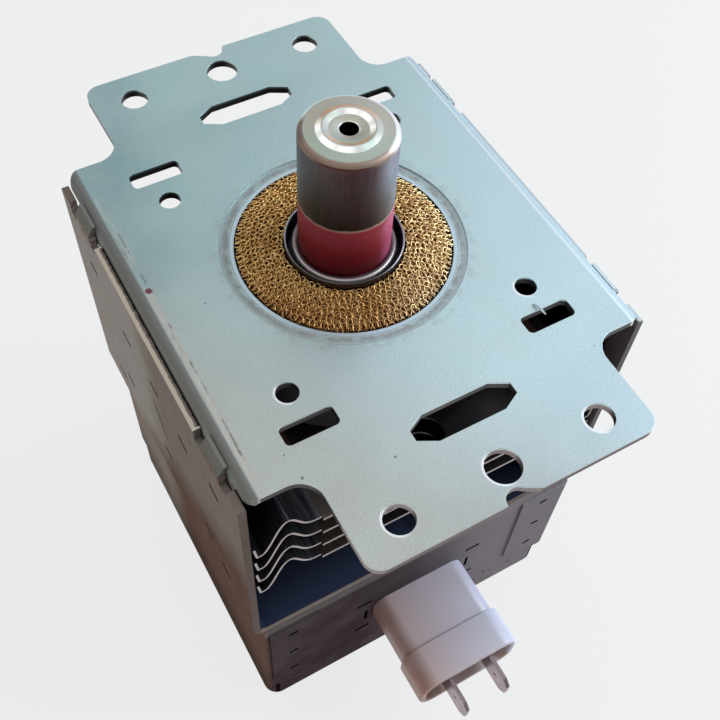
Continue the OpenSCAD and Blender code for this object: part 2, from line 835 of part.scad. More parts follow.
module lower_end_hat() {
    color("silver") difference() {
        ring(lead_d, hat_r, anode_mid_z - vane_h / 2 - hat_t, hat_t);
        translate([lead_offset, 0, anode_bottom_z]) cylinder(d = lead_d + 2 * fit_gap, h = anode_h);
    }
}

// Rod from the upper end hat down the middle, set over to its own hole in the stem
module center_lead() {
    top_z = anode_mid_z + vane_h / 2 + 2 * hat_t;
    knee_z = anode_bottom_z;
    step_z = knee_z - 2 * lead_offset;
    route = [[0, 0, top_z], [0, 0, knee_z], [-lead_offset, 0, step_z], [-lead_offset, 0, lead_end_z]];
    color("darkgray") wire(route, lead_d, [0, 1, 0], lead_sides);
}

module side_lead() {
    top_z = anode_mid_z - vane_h / 2;
    color("darkgray") translate([lead_offset, 0, lead_end_z]) cylinder(d = lead_d, h = top_z - lead_end_z);
}

module stem_seal() {
    flange_z = anode_bottom_z + end_recess_h - pole_t;
    neck_in_r = stem_r + fit_gap;
    color("gainsboro") rotate_extrude() polygon([
        [neck_in_r, flange_z], [end_recess_r - fit_gap, flange_z],
        [end_recess_r - fit_gap, flange_z - seal_t], [seal_neck_r, flange_z - seal_t],
        [seal_neck_r, stem_top_z - stem_lap], [neck_in_r, stem_top_z - stem_lap]
    ]);
}

module stem_ceramic() {
    color("mistyrose") difference() {
        translate([0, 0, stem_bottom_z]) cylinder(r = stem_r, h = stem_top_z - stem_bottom_z);
        for (x = [-1, 1])
            translate([x * lead_offset, 0, stem_bottom_z - past])
                cylinder(d = lead_d + 2 * fit_gap, h = stem_top_z - stem_bottom_z + 2 * past);
    }
}

// Filter box

// Block with its upper edges rounded, its top on the yoke's floor, centred on the box
module box_block(w, l, h, r) {
    translate([0, box_mid_y, floor_bottom_z]) mirror([0, 0, 1]) tray_block(w, l, h, r);
}

// Section of the capacitor's body, grown all round
module plug_section(grow) rounded_rect(plug_w + 2 * grow, plug_h + 2 * grow, plug_r + grow);

module on_front(y) translate([0, y, plug_z]) rotate([90, 0, 0]) children();

module flap_pads() {
    flap_h = box_h - flap_top - flap_bottom;
    for (x = [-1, 1], y = [-1, 1])
        translate([x * (box_w / 2 - box_bend_r / 2 - flap_w / 2), box_mid_y + y * (box_l / 2),
                   floor_bottom_z - flap_top - flap_h / 2])
            cube([flap_w, 2 * flap_t, flap_h], center = true);
}

module filter_box() {
    color("rosybrown") difference() {
        union() {
            box_block(box_w, box_l, box_h, box_bend_r);
            flap_pads();
        }
        translate([0, 0, -box_t])
            box_block(box_w - 2 * box_t, box_l - 2 * box_t, box_h + past, box_bend_r - box_t);
        translate([0, 0, floor_bottom_z - 2 * box_t]) cylinder(d = floor_hole_d, h = 3 * box_t);
        for (x = [-1, 1], y = [-1, 1])
            translate([x * rivet_x, y * rivet_y, floor_bottom_z - 2 * box_t])
                cylinder(d = rivet_d + 2 * fit_gap, h = 3 * box_t);
        on_front(-box_front + 2 * box_t) linear_extrude(4 * box_t) {
            plug_section(sheet_gap);
            for (x = [-1, 1], z = [-1, 1])
                translate([x * tab_x, z * tab_z]) square([tab_slot_l, tab_slot_h], center = true);
            for (x = [-1, 1])
                translate([x * (plug_w / 2 + side_slit_out), 0]) square([slit_w, side_slit_h], center = true);
        }
        for (y = [-1, 1], x = [-1, 1], k = [-1:1])
            translate([x * clinch_x, box_mid_y + y * (box_l / 2 + flap_t),
                       plug_z + clinch_lift + k * clinch_pitch])
                cube([clinch_l, 2 * flap_t, clinch_h], center = true);
    }
}

// Outline of the lid in plan, drawn in all round
module lid_outline(deep)
    rounded_rect(box_w - 2 * deep, box_l - 2 * deep, max(lid_corner_r - deep, sheet_gap));

module filter_lid() {
    rim = box_t + sheet_gap;
    color("rosybrown") translate([0, box_mid_y, base_z]) difference() {
        union() {
            linear_extrude(lid_drop - fit_gap) lid_outline(0);
            linear_extrude(lid_drop + lid_rim) lid_outline(rim);
        }
        translate([0, 0, box_t]) linear_extrude(lid_drop - fit_gap - 2 * box_t) lid_outline(box_t);
        translate([0, 0, box_t]) linear_extrude(lid_drop + lid_rim) lid_outline(rim + box_t);
    }
}

module box_rivets() {
    head_d = rivet_d + 2 * rivet_head;
    color("silver") for (x = [-1, 1], y = [-1, 1])
        translate([x * rivet_x, y * rivet_y, 0]) {
            translate([0, 0, floor_bottom_z - box_t]) cylinder(d = rivet_d, h = yoke_t + box_t);
            translate([0, 0, floor_top_z]) cylinder(d = head_d, h = rivet_head_h);
            translate([0, 0, floor_bottom_z - box_t - rivet_head_h]) cylinder(d = head_d, h = rivet_head_h);
        }
}

// Feed-through capacitor

module capacitor_body() {
    out_l = plug_l + plug_inside;
    color("whitesmoke") difference() {
        union() {
            on_front(-box_front + plug_inside) linear_extrude(out_l) plug_section(0);
            on_front(-box_front - plug_l) linear_extrude(collar_l) plug_section(collar_step);
        }
        on_front(plug_end_y + recess_l) linear_extrude(recess_l + past)
            plug_section(collar_step - recess_wall);
        for (x = [-1, 1]) {
            translate([x * blade_pitch / 2 - blade_t / 2 - fit_gap, plug_end_y, plug_z - blade_w / 2 - fit_gap])
                cube([blade_t + 2 * fit_gap, collar_l + plug_l, blade_w + 2 * fit_gap]);
            translate([x * blade_pitch / 2 - blade_t / 2 - fit_gap, plug_end_y,
                       plug_z - blade_stem_w / 2 - fit_gap])
                cube([blade_t + 2 * fit_gap, collar_l + plug_l + plug_inside + past, blade_stem_w + 2 * fit_gap]);
        }
    }
}

module capacitor_flange() {
    inner_y = -box_front + box_t;
    color("lightgray") {
        on_front(inner_y + box_t) linear_extrude(box_t) difference() {
            rounded_rect(flange_w, flange_l, box_bend_r);
            plug_section(sheet_gap);
        }
        for (x = [-1, 1], z = [-1, 1])
            on_front(inner_y) translate([x * tab_x, z * tab_z])
                linear_extrude(box_t - sheet_gap)
                    square([tab_slot_l - 2 * sheet_gap, tab_slot_h - 2 * sheet_gap], center = true);
    }
}

module terminal(side) {
    tip_y = plug_end_y - blade_l;
    neck_y = plug_end_y + collar_l + plug_l - fit_gap;
    tip = blade_w / 2 - blade_tip;
    face_x = side * blade_t / 2;
    color("tan") translate([side * blade_pitch / 2, 0, plug_z]) difference() {
        rotate([90, 0, 90]) linear_extrude(blade_t, center = true) polygon([
            [tip_y, -tip], [tip_y + blade_tip, -blade_w / 2], [neck_y, -blade_w / 2],
            [neck_y, -blade_stem_w / 2], [terminal_in_y, -blade_stem_w / 2],
            [terminal_in_y, blade_stem_w / 2], [neck_y, blade_stem_w / 2],
            [neck_y, blade_w / 2], [tip_y + blade_tip, blade_w / 2], [tip_y, tip]
        ]);
        for (x = [-1, 1])
            translate([x * (face_x + side * dimple_r * 0.7), tip_y + dimple_back, 0]) sphere(r = dimple_r);
    }
}

module left_terminal() terminal(-1);

module right_terminal() terminal(1);

// Chokes

module choke_core(side) {
    color([0.22, 0.2, 0.2])
        translate([side * choke_x, choke_start_y + choke_turns * choke_pitch / 2 + core_l / 2, plug_z])
            rotate([90, 0, 0]) cylinder(d = core_d, h = core_l);
}

module left_choke_core() choke_core(-1);

module right_choke_core() choke_core(1);

// Wire from a capacitor terminal, round the core and on to a cathode lead
module choke_coil(side) {
    turn_z = plug_z - choke_r;
    start = [blade_pitch / 2 + blade_t / 2 + seat_gap + choke_wire_d / 2, terminal_in_y - choke_wire_d, plug_z];
    finish = [lead_offset + lead_d / 2 + seat_gap + choke_wire_d / 2, 0, lead_end_z + lead_d];
    end_y = choke_start_y + choke_turns * choke_pitch;
    turns = [
        for (k = [0:choke_turns * choke_steps])
            [choke_x - choke_r * sin(360 * k / choke_steps),
             choke_start_y + choke_pitch * k / choke_steps,
             plug_z - choke_r * cos(360 * k / choke_steps)]
    ];
    route = concat(
        [start, [start[0] + choke_wire_d, start[1], turn_z / 2 + plug_z / 2]],
        turns,
        [[choke_x - 2 * choke_r, end_y, turn_z], finish]
    );
    color([0.7, 0.4, 0.2]) mirror([side < 0 ? 1 : 0, 0, 0]) wire(route, choke_wire_d, [0, 1, 0]);
}

module left_choke_coil() choke_coil(-1);

module right_choke_coil() choke_coil(1);

mounting_plate();
yoke();
for (i = [0:fin_count - 1])
    fin(i);
upper_magnet();
lower_magnet();
anode_shell();
for (i = [0:vane_count - 1])
    vane(i);
strap(strap_in_r, 1);  // upper_inner_strap
strap(strap_out_r, 1);  // upper_outer_strap
strap(strap_in_r, -1);  // lower_inner_strap
strap(strap_out_r, -1);  // lower_outer_strap
upper_pole();
lower_pole();
output_seal();
stem_seal();
antenna_ceramic();
antenna_lead();
exhaust_tube();
antenna_cap();
rf_gasket();
gasket_cup();
filament();
upper_end_hat();
lower_end_hat();
center_lead();
side_lead();
stem_ceramic();
filter_box();
filter_lid();
box_rivets();
capacitor_body();
capacitor_flange();
left_terminal();
right_terminal();
left_choke_core();
right_choke_core();
left_choke_coil();
right_choke_coil();
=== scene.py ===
"""Looks of an air-cooled magnetron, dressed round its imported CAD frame.

Sizes are in millimetres and become metres where a mesh is made.
"""
import logging
import math
from dataclasses import dataclass, field
from enum import Enum
from typing import Any, Callable, Iterable, Sequence

import bmesh
import bpy
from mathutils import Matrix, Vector
from mathutils.geometry import tessellate_polygon


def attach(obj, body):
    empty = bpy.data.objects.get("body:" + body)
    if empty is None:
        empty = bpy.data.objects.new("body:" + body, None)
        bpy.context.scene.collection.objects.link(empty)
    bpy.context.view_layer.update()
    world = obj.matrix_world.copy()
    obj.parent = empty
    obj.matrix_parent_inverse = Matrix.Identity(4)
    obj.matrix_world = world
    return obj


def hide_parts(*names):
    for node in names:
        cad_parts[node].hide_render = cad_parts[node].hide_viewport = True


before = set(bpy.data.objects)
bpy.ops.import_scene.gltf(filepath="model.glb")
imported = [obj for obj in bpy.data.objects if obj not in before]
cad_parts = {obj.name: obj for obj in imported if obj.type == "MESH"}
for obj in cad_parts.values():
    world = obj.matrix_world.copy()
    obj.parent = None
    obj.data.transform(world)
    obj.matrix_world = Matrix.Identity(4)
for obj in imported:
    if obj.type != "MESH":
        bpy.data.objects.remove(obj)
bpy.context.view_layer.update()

MM = 0.001
BODY = "root"
WHITE = (1.0, 1.0, 1.0)
log = logging.getLogger("magnetron")

# Directions of the plan, named as the picture shows them
RIGHTWARD = (0.869, -0.495)
BACKWARD = (0.555, 0.832)
FRONTWARD = (-0.555, -0.832)
LEFT_FRONT = (-0.973, -0.23)

Color = tuple[float, float, float]
Loop = list[tuple[float, float]]
Spots = tuple[tuple[float, ...], ...]
Place = Callable[[float, float, float], tuple[float, float, float]]


class Axis(Enum):
    """Direction in which a surface was rolled or brushed."""

    NONE = (1.0, 1.0, 1.0)
    ALONG_Y = (1.0, 0.06, 1.0)
    ALONG_Z = (1.0, 1.0, 0.06)


class Sock:
    """A node's output: operators on it add Math nodes to its tree."""

    def __init__(self, graph: "Graph", socket: bpy.types.NodeSocket) -> None:
        """Keep the tree and the socket.

        Args:
            graph: tree that the socket is in.
            socket: output socket of a node.
        """
        self.graph = graph
        self.socket = socket

    def other(self, output: str | int) -> "Sock":
        """Another output of the same node."""
        return Sock(self.graph, self.socket.node.outputs[output])

    def math(self, operation: str, *values: Any) -> "Sock":
        """Result of a Math node on the given values."""
        return self.graph.node("ShaderNodeMath", {"operation": operation}, dict(enumerate(values)))

    def __add__(self, other: Any) -> "Sock":
        """Sum."""
        return self.math("ADD", self, other)

    def __sub__(self, other: Any) -> "Sock":
        """Difference."""
        return self.math("SUBTRACT", self, other)

    def __rsub__(self, other: Any) -> "Sock":
        """Difference with this value taken away."""
        return self.math("SUBTRACT", other, self)

    def __mul__(self, other: Any) -> "Sock":
        """Product."""
        return self.math("MULTIPLY", self, other)

    def __truediv__(self, other: Any) -> "Sock":
        """Quotient."""
        return self.math("DIVIDE", self, other)

    def __pow__(self, other: Any) -> "Sock":
        """Power."""
        return self.math("POWER", self, other)

    def __abs__(self) -> "Sock":
        """Size without its sign."""
        return self.math("ABSOLUTE", self)

    __radd__ = __add__
    __rmul__ = __mul__


class Graph:
    """A node tree that grows by calls."""

    def __init__(self, tree: bpy.types.NodeTree) -> None:
        """Keep the tree that the nodes go into."""
        self.tree = tree

    def node(self, kind: str, settings: dict[str, Any] | None = None,
             inputs: dict[str | int, Any] | None = None, output: str | int = 0) -> Sock:
        """Add one node.

        Args:
            kind: the node's type.
            settings: the node's own settings, set first; stops fills a ramp.
            inputs: values or sockets, by input name or number.
            output: which output to return.

        Returns:
            The chosen output.
        """
        made = self.tree.nodes.new(kind)
        for key, value in (settings or {}).items():
            if key == "stops":
                self._fill_ramp(made.color_ramp, value)
            else:
                setattr(made, key, value)
        for key, value in (inputs or {}).items():
            if isinstance(value, Sock):
                self.tree.links.new(value.socket, made.inputs[key])
            else:
                made.inputs[key].default_value = value
        return Sock(self, made.outputs[output])

    @staticmethod
    def _fill_ramp(ramp: bpy.types.ColorRamp, stops: Sequence[tuple[float, Color]]) -> None:
        """Give a ramp its stops, each a place and a colour."""
        while len(ramp.elements) < len(stops):
            ramp.elements.new(1.0)
        for element, (place, color) in zip(ramp.elements, stops):
            element.position = place
            element.color = (*color, 1.0)


class Shader(Graph):
    """A material's node tree, read in millimetres of the piece's own frame."""

    def __init__(self, name: str) -> None:
        """Make an empty material and its coordinates.

        Args:
            name: the material's name.
        """
        self.material = bpy.data.materials.new(name)
        self.material.use_nodes = True
        super().__init__(self.material.node_tree)
        self.tree.nodes.clear()
        place = self.node("ShaderNodeTexCoord", output="Object")
        self.point = self.node("ShaderNodeVectorMath", {"operation": "SCALE"}, {0: place, "Scale": 1.0 / MM})
        self.x = self.node("ShaderNodeSeparateXYZ", None, {0: self.point})
        self.y = self.x.other("Y")
        self.z = self.x.other("Z")

    def stretch(self, factors: Sequence[float]) -> Sock:
        """Coordinates scaled apart along the three axes."""
        return self.node("ShaderNodeVectorMath", {"operation": "MULTIPLY"},
                         {0: self.point, 1: tuple(factors)})

    def noise(self, scale: float, detail: float = 3.0, rough: float = 0.55,
              along: Axis = Axis.NONE) -> Sock:
        """Smooth noise from 0 to 1 with about scale features a millimetre."""
        vector = self.point if along is Axis.NONE else self.stretch(along.value)
        return self.node("ShaderNodeTexNoise", None, {
            "Vector": vector, "Scale": scale, "Detail": detail, "Roughness": rough})

    def cells(self, scale: float) -> Sock:
        """Distance from the middles of about scale cells a millimetre."""
        return self.node("ShaderNodeTexVoronoi", None, {"Vector": self.point, "Scale": scale})

    def step(self, value: Sock, low: float, high: float) -> Sock:
        """Smooth step from 0 at low to 1 at high; high may be the lesser."""
        if low <= high:
            return self.node("ShaderNodeMapRange", {"interpolation_type": "SMOOTHSTEP"}, {
                "Value": value, "From Min": low, "From Max": high})
        return 1.0 - self.step(value, high, low)

    def band(self, value: Sock, low: float, high: float, soft: float) -> Sock:
        """Mask that is 1 between low and high, with soft edges."""
        return self.step(value, low - soft, low + soft) * self.step(value, high + soft, high - soft)

    def radius(self, x: float = 0.0, y: float = 0.0) -> Sock:
        """Distance from an upright line through a point of the plan."""
        across = self.x - x
        along = self.y - y
        return (across * across + along * along) ** 0.5

    def plan(self, x: float, y: float) -> Sock:
        """Distance along a direction of the plan."""
        return self.x * x + self.y * y

    def facing(self, x: float, y: float, z: float) -> Sock:
        """How far the surface faces a direction, from -1 to 1."""
        normal = self.node("ShaderNodeNewGeometry", output="Normal")
        return self.node("ShaderNodeVectorMath", {"operation": "DOT_PRODUCT"},
                         {0: normal, 1: (x, y, z)}, "Value")

    def ramp(self, value: Sock, stops: Sequence[tuple[float, Color]]) -> Sock:
        """Colour by a value from 0 to 1."""
        return self.node("ShaderNodeValToRGB", {"stops": stops}, {0: value})

    def mix(self, mask: Any, first: Any, second: Any, blend: str = "MIX") -> Sock:
        """Colour between two colours.

        Args:
            mask: share of the second colour.
            first: colour or socket.
            second: colour or socket.
            blend: how the second goes onto the first.

        Returns:
            The mixed colour.
        """
        def shade(value: Any) -> Any:
            """A colour with its alpha, or the socket as it is."""
            return value if isinstance(value, Sock) else (*value, 1.0)

        return self.node("ShaderNodeMix", {"data_type": "RGBA", "blend_type": blend}, {
            0: mask, 6: shade(first), 7: shade(second)}, 2)

    def coats(self, base: Any, *layers: tuple) -> Sock:
        """Colours laid on in turn, each with its mask and, if need be, its blend."""
        for mask, *layer in layers:
            base = self.mix(mask, base, *layer)
        return base

    def bump(self, height: Sock, strength: float, distance: float, below: Sock | None = None) -> Sock:
        """Normal bent by a height, in millimetres, on top of another normal."""
        inputs = {"Height": height, "Strength": strength, "Distance": distance * MM}
        if below is not None:
            inputs["Normal"] = below
        return self.node("ShaderNodeBump", None, inputs)

    def surface(self, **inputs: Any) -> bpy.types.Material:
        """Close the tree with a principled surface.

        Args:
            inputs: the surface's sockets, with spaces written as underscores.

        Returns:
            The finished material.
        """
        named = {key.replace("_", " "): value for key, value in inputs.items()}
        named = {key: (*value, 1.0) if isinstance(value, tuple) else value for key, value in named.items()}
        shaded = self.node("ShaderNodeBsdfPrincipled", None, named)
        self.node_output(shaded)
        return self.material

    def node_output(self, shaded: Sock) -> None:
        """Join a surface to the material's output."""
        end = self.tree.nodes.new("ShaderNodeOutputMaterial")
        self.tree.links.new(shaded.socket, end.inputs["Surface"])


@dataclass(frozen=True)
class Finish:
    """A named finish of the object, with the record's slot that it belongs to."""

    name: str
    slot: str

    def material(self) -> bpy.types.Material:
        """The finish's material, made once."""
        found = bpy.data.materials.get(self.name)
        return found or self.paint(Shader(self.name))

    def paint(self, shader: Shader) -> bpy.types.Material:
        """Fill the material's tree."""
        raise NotImplementedError


@dataclass(frozen=True)
class WorkedMetal(Finish):
    """Plain metal with mottled tone, fine grain and the lines of its rolling."""

    light: Color = (0.6, 0.6, 0.6)
    dark: Color = (0.4, 0.4, 0.4)
    roughness: float = 0.35
    metallic: float = 1.0
    grain: float = 2.0
    lines: Axis = Axis.NONE
    relief: float = 0.01

    def paint(self, shader: Shader) -> bpy.types.Material:
        """Mix the two tones by mottle and grain.

        Args:
            shader: empty tree.

        Returns:
            The finished material.
        """
        mottle = shader.noise(0.25, 4.0)
        grain = shader.noise(self.grain, 5.0, 0.65, self.lines)
        tone = shader.step(mottle * 0.55 + grain * 0.45, 0.32, 0.68)
        rough = self.roughness * 0.8 + grain * (self.roughness * 0.4)
        return shader.surface(
            Base_Color=shader.mix(tone, self.dark, self.light), Metallic=self.metallic,
            Roughness=rough, Normal=shader.bump(grain, 0.5, self.relief))


@dataclass(frozen=True)
class ZincPlate(Finish):
    """Blue-white zinc plating of the mounting plate, with its wear."""

    plate_t: float = 1.5
    bend_x: float = 33.1
    opening_r: float = 18.3
    coin_r: float = 20.6
    tab_y: float = 44.0
    end_y: float = 53.4
    stain: tuple[float, float] = (-32.42, 5.41)
    rubbed: Spots = ((12.0, 27.5, 0.2), (-33.0, 5.0, 0.66))
    gouges: Spots = ((14.0, 19.0), (7.0, 9.4), (-3.0, -1.6), (-12.6, -9.6), (-16.2, -14.0), (-29.0, -21.5))
    holes: Spots = ((-17.5, -47.5, 2.45), (17.5, -47.5, 2.45), (0.0, -47.5, 2.9), (-21.75, -21.75, 1.85),
                    (21.75, -21.75, 1.85))
    pits: Spots = ((-26.4, -35.5, 0.25), (-27.0, -31.0, 0.15), (-25.6, -0.9, 0.15), (-13.0, -38.8, 0.2),
                   (24.6, -36.6, 0.12))

    def plating(self, shader: Shader, speckle: Sock) -> Sock:
        """Colour of the plating, mottled, with painted light: lighter and cooler to the right, lighter over the back
        tab, a painted warm cast to the front left and painted shade to the back left and front right.

        Args:
            shader: the plate's tree.
            speckle: fine noise.

        Returns:
            The colour.
        """
        cloud = shader.noise(0.09, 3.0)
        # Painted light: lighter and cooler to the right, a warm cast to the front left, painted shade to the back left
        # and front right.
        cool = shader.step(shader.plan(0.75, -0.65), -46.0, 20.0)
        warm = shader.step(shader.plan(-0.8, -0.6), 8.0, 46.0)
        shade_back_left = shader.step(shader.plan(-0.95, 0.3), 24.0, 37.0)
        shade_front_right = shader.step(shader.plan(0.4, -0.9), 34.0, 52.0)
        return shader.coats(
            (0.415, 0.595, 0.595), (cool, (0.645, 0.815, 0.84)),
            (shader.step(shader.y, 36.0, 46.0) * 0.5, (0.60, 0.80, 0.805)),
            (shade_back_left, (0.76, 0.79, 0.82), "MULTIPLY"), (warm * 0.84, (0.535, 0.515, 0.465)),
            (shade_front_right * 0.8, (0.83, 0.80, 0.82), "MULTIPLY"),
            (shader.step(cloud, 0.35, 0.7) * 0.25, (0.66, 0.74, 0.72)),
            (shader.step(speckle, 0.50, 0.36) * 0.27, (0.38, 0.46, 0.47)),
            (shader.step(speckle, 0.54, 0.70) * 0.28, (0.86, 0.93, 0.95)))

    def ringed(self, shader: Shader, base: Sock) -> tuple[Sock, Sock]:
        """Put the dull coined ring on, with a painted highlight along the rolled rim.

        Args:
            shader: the plate's tree.
            base: colour so far.

        Returns:
            The new colour and the ring's mask.
        """
        radius = shader.radius()
        dirt = shader.noise(0.5, 5.0, 0.7)
        ragged = radius + (dirt - 0.5) * 0.9
        ring = shader.band(ragged, self.opening_r + 0.95, self.coin_r - 0.15, 0.3)
        worn = ring * shader.step(radius, self.coin_r + 0.4, self.opening_r + 1.2)
        # Painted highlight: the rolled rim of the opening is painted pale blue-white.
        rim = shader.band(radius, self.opening_r - 0.5, self.opening_r + 0.6, 0.12)
        lines = shader.band(radius, self.opening_r + 0.66, self.opening_r + 0.8, 0.1)
        lines = lines + shader.band(radius, self.coin_r - 0.05, self.coin_r + 0.12, 0.1)
        smudge = shader.band(ragged, self.coin_r, self.coin_r + 1.6, 0.8) * shader.step(dirt, 0.45, 0.65)
        base = shader.coats(
            base, (worn * shader.step(dirt, 0.3, 0.6) * 0.45 + ring * 0.42, (0.29, 0.29, 0.285)),
            (rim * 0.8, (0.66, 0.79, 0.87)), (smudge * 0.3, (0.36, 0.37, 0.36)),
            (lines * 0.6, (0.24, 0.26, 0.27)))
        return base, ring * 0.8 + lines * 0.4

    def worn(self, shader: Shader, base: Sock) -> tuple[Sock, Sock]:
        """Rub the plating through along the bends, paint shade onto the left bend and paint the right bend lighter,
        with a highlight line.

        Args:
            shader: the plate's tree.
            base: colour so far.

        Returns:
            The new colour and the mask of the left bend, which is painted dark as shade and made dull.
        """
        side = abs(shader.x)
        left = shader.step(shader.x, 1.0, -1.0)
        bend = shader.step(side, self.bend_x - 0.1, self.bend_x + 0.45)
        streaks = shader.noise(1.6, 5.0, 0.75, Axis.ALONG_Y)
        spread = shader.band(side + (streaks - 0.5) * 0.8, self.bend_x - 1.15, self.bend_x + 0.05, 0.22)
        # Painted shade on the left bend; the right bend is painted lighter and bluer as lit.
        base = shader.coats(base, (bend * left * 0.94, (0.225, 0.230, 0.218)),
                            (bend * (1.0 - left) * 0.5, (0.50, 0.62, 0.68)))
        for low, high, share in self.rubbed:
            patch = spread * shader.band(shader.y, low, high, 1.2) * left
            base = shader.coats(
                base, (patch * share, (0.60, 0.565, 0.51)),
                (patch * shader.step(streaks, 0.45, 0.37) * 0.6, (0.26, 0.25, 0.24)),
                (patch * shader.step(streaks, 0.53, 0.62) * 0.5, (0.74, 0.75, 0.72)))
        # Painted highlight: a pale line along the right bend.
        line = shader.band(side, self.bend_x - 0.25, self.bend_x + 0.25, 0.15) * (1.0 - left)
        base = shader.mix(line * 0.8, base, (0.90, 0.98, 1.0))
        thin = shader.band(side + (streaks - 0.5) * 1.1, self.bend_x - 0.95, self.bend_x - 0.75, 0.16) * left
        thin = thin * shader.step(shader.noise(0.9, 4.0), 0.36, 0.56)
        for low, high in self.gouges:
            base = shader.mix(thin * shader.band(shader.y, low, high, 0.5) * 0.8, base, (0.11, 0.11, 0.115))
        return base, bend * left

    def marked(self, shader: Shader, base: Sock) -> Sock:
        """Put the stain, a painted highlight on the lips of the front holes and the pits on."""
        spot = shader.step(shader.radius(*self.stain) + (shader.noise(1.2) - 0.5) * 0.9, 0.72, 0.46)
        base = shader.mix(spot * 0.9, base, (0.19, 0.035, 0.045))
        # Painted highlight: white crescents on the left-front lips of the front holes.
        for x, y, r in self.holes:
            lip = shader.band(shader.radius(x, y), r - 0.2, r + 0.36, 0.12)
            reach = shader.plan(*LEFT_FRONT) - (LEFT_FRONT[0] * x + LEFT_FRONT[1] * y)
            base = shader.mix(lip * shader.step(reach, 0.0, r * 0.7) * 0.85, base, WHITE)
        for x, y, r in self.pits:
            pit = shader.step(shader.radius(x, y), r + 0.1, r - 0.1)
            base = shader.mix(pit * 0.75, base, (0.13, 0.15, 0.16))
        return base

    def paint(self, shader: Shader) -> bpy.types.Material:
        """Layer the plating, the coined ring, the wear and the cut edges, with a painted glint on the eased edges,
        painted light and shade on the cut walls and painted shade underneath.

        Args:
            shader: empty tree.

        Returns:
            The finished material.
        """
        speckle = shader.noise(2.6, 4.0, 0.7)
        base, ring = self.ringed(shader, self.plating(shader, speckle))
        base, dull = self.worn(shader, base)
        base = self.marked(shader, base)
        inner = shader.step(abs(shader.x), self.bend_x + 0.1, self.bend_x - 0.1)
        # Painted highlight: a white glint on the eased edges that face back and right.
        glint = inner * shader.step(shader.z, -0.3, -0.2) * shader.step(shader.z, -0.004, -0.02)
        glint = glint * shader.step(shader.facing(0.83, 0.43, 0.35), 0.42, 0.62)
        # Painted light and shade on the cut walls: dark, lit warm where they face front on the front tab, brownish at
        # the front end.
        cut = inner * shader.step(shader.z, -0.3, -0.42)
        lit = shader.step(shader.y, -self.tab_y, -self.tab_y - 1.0)
        lit = lit * shader.step(shader.facing(*FRONTWARD, 0.0), 0.0, 0.6)
        end = shader.step(shader.y, 0.6 - self.end_y, 0.2 - self.end_y)
        tone = shader.coats((0.045, 0.042, 0.045), (lit, (0.29, 0.245, 0.24)), (end, (0.092, 0.073, 0.070)))
        # Painted shade on the plate's underside.
        under = inner * shader.step(shader.z, 0.06 - self.plate_t, 0.02 - self.plate_t)
        base = shader.coats(base, (glint, WHITE), (cut, tone), (under, (0.10, 0.12, 0.14)))
        relief = shader.bump(shader.noise(0.06, 1.0), 0.3, 0.8)
        relief = shader.bump(speckle, 0.35, 0.012, relief)
        rough = 0.36 + speckle * 0.12 + ring * 0.2 + dull * 0.22
        return shader.surface(Base_Color=base, Metallic=0.92 - cut * 0.3, Roughness=rough, Normal=relief)


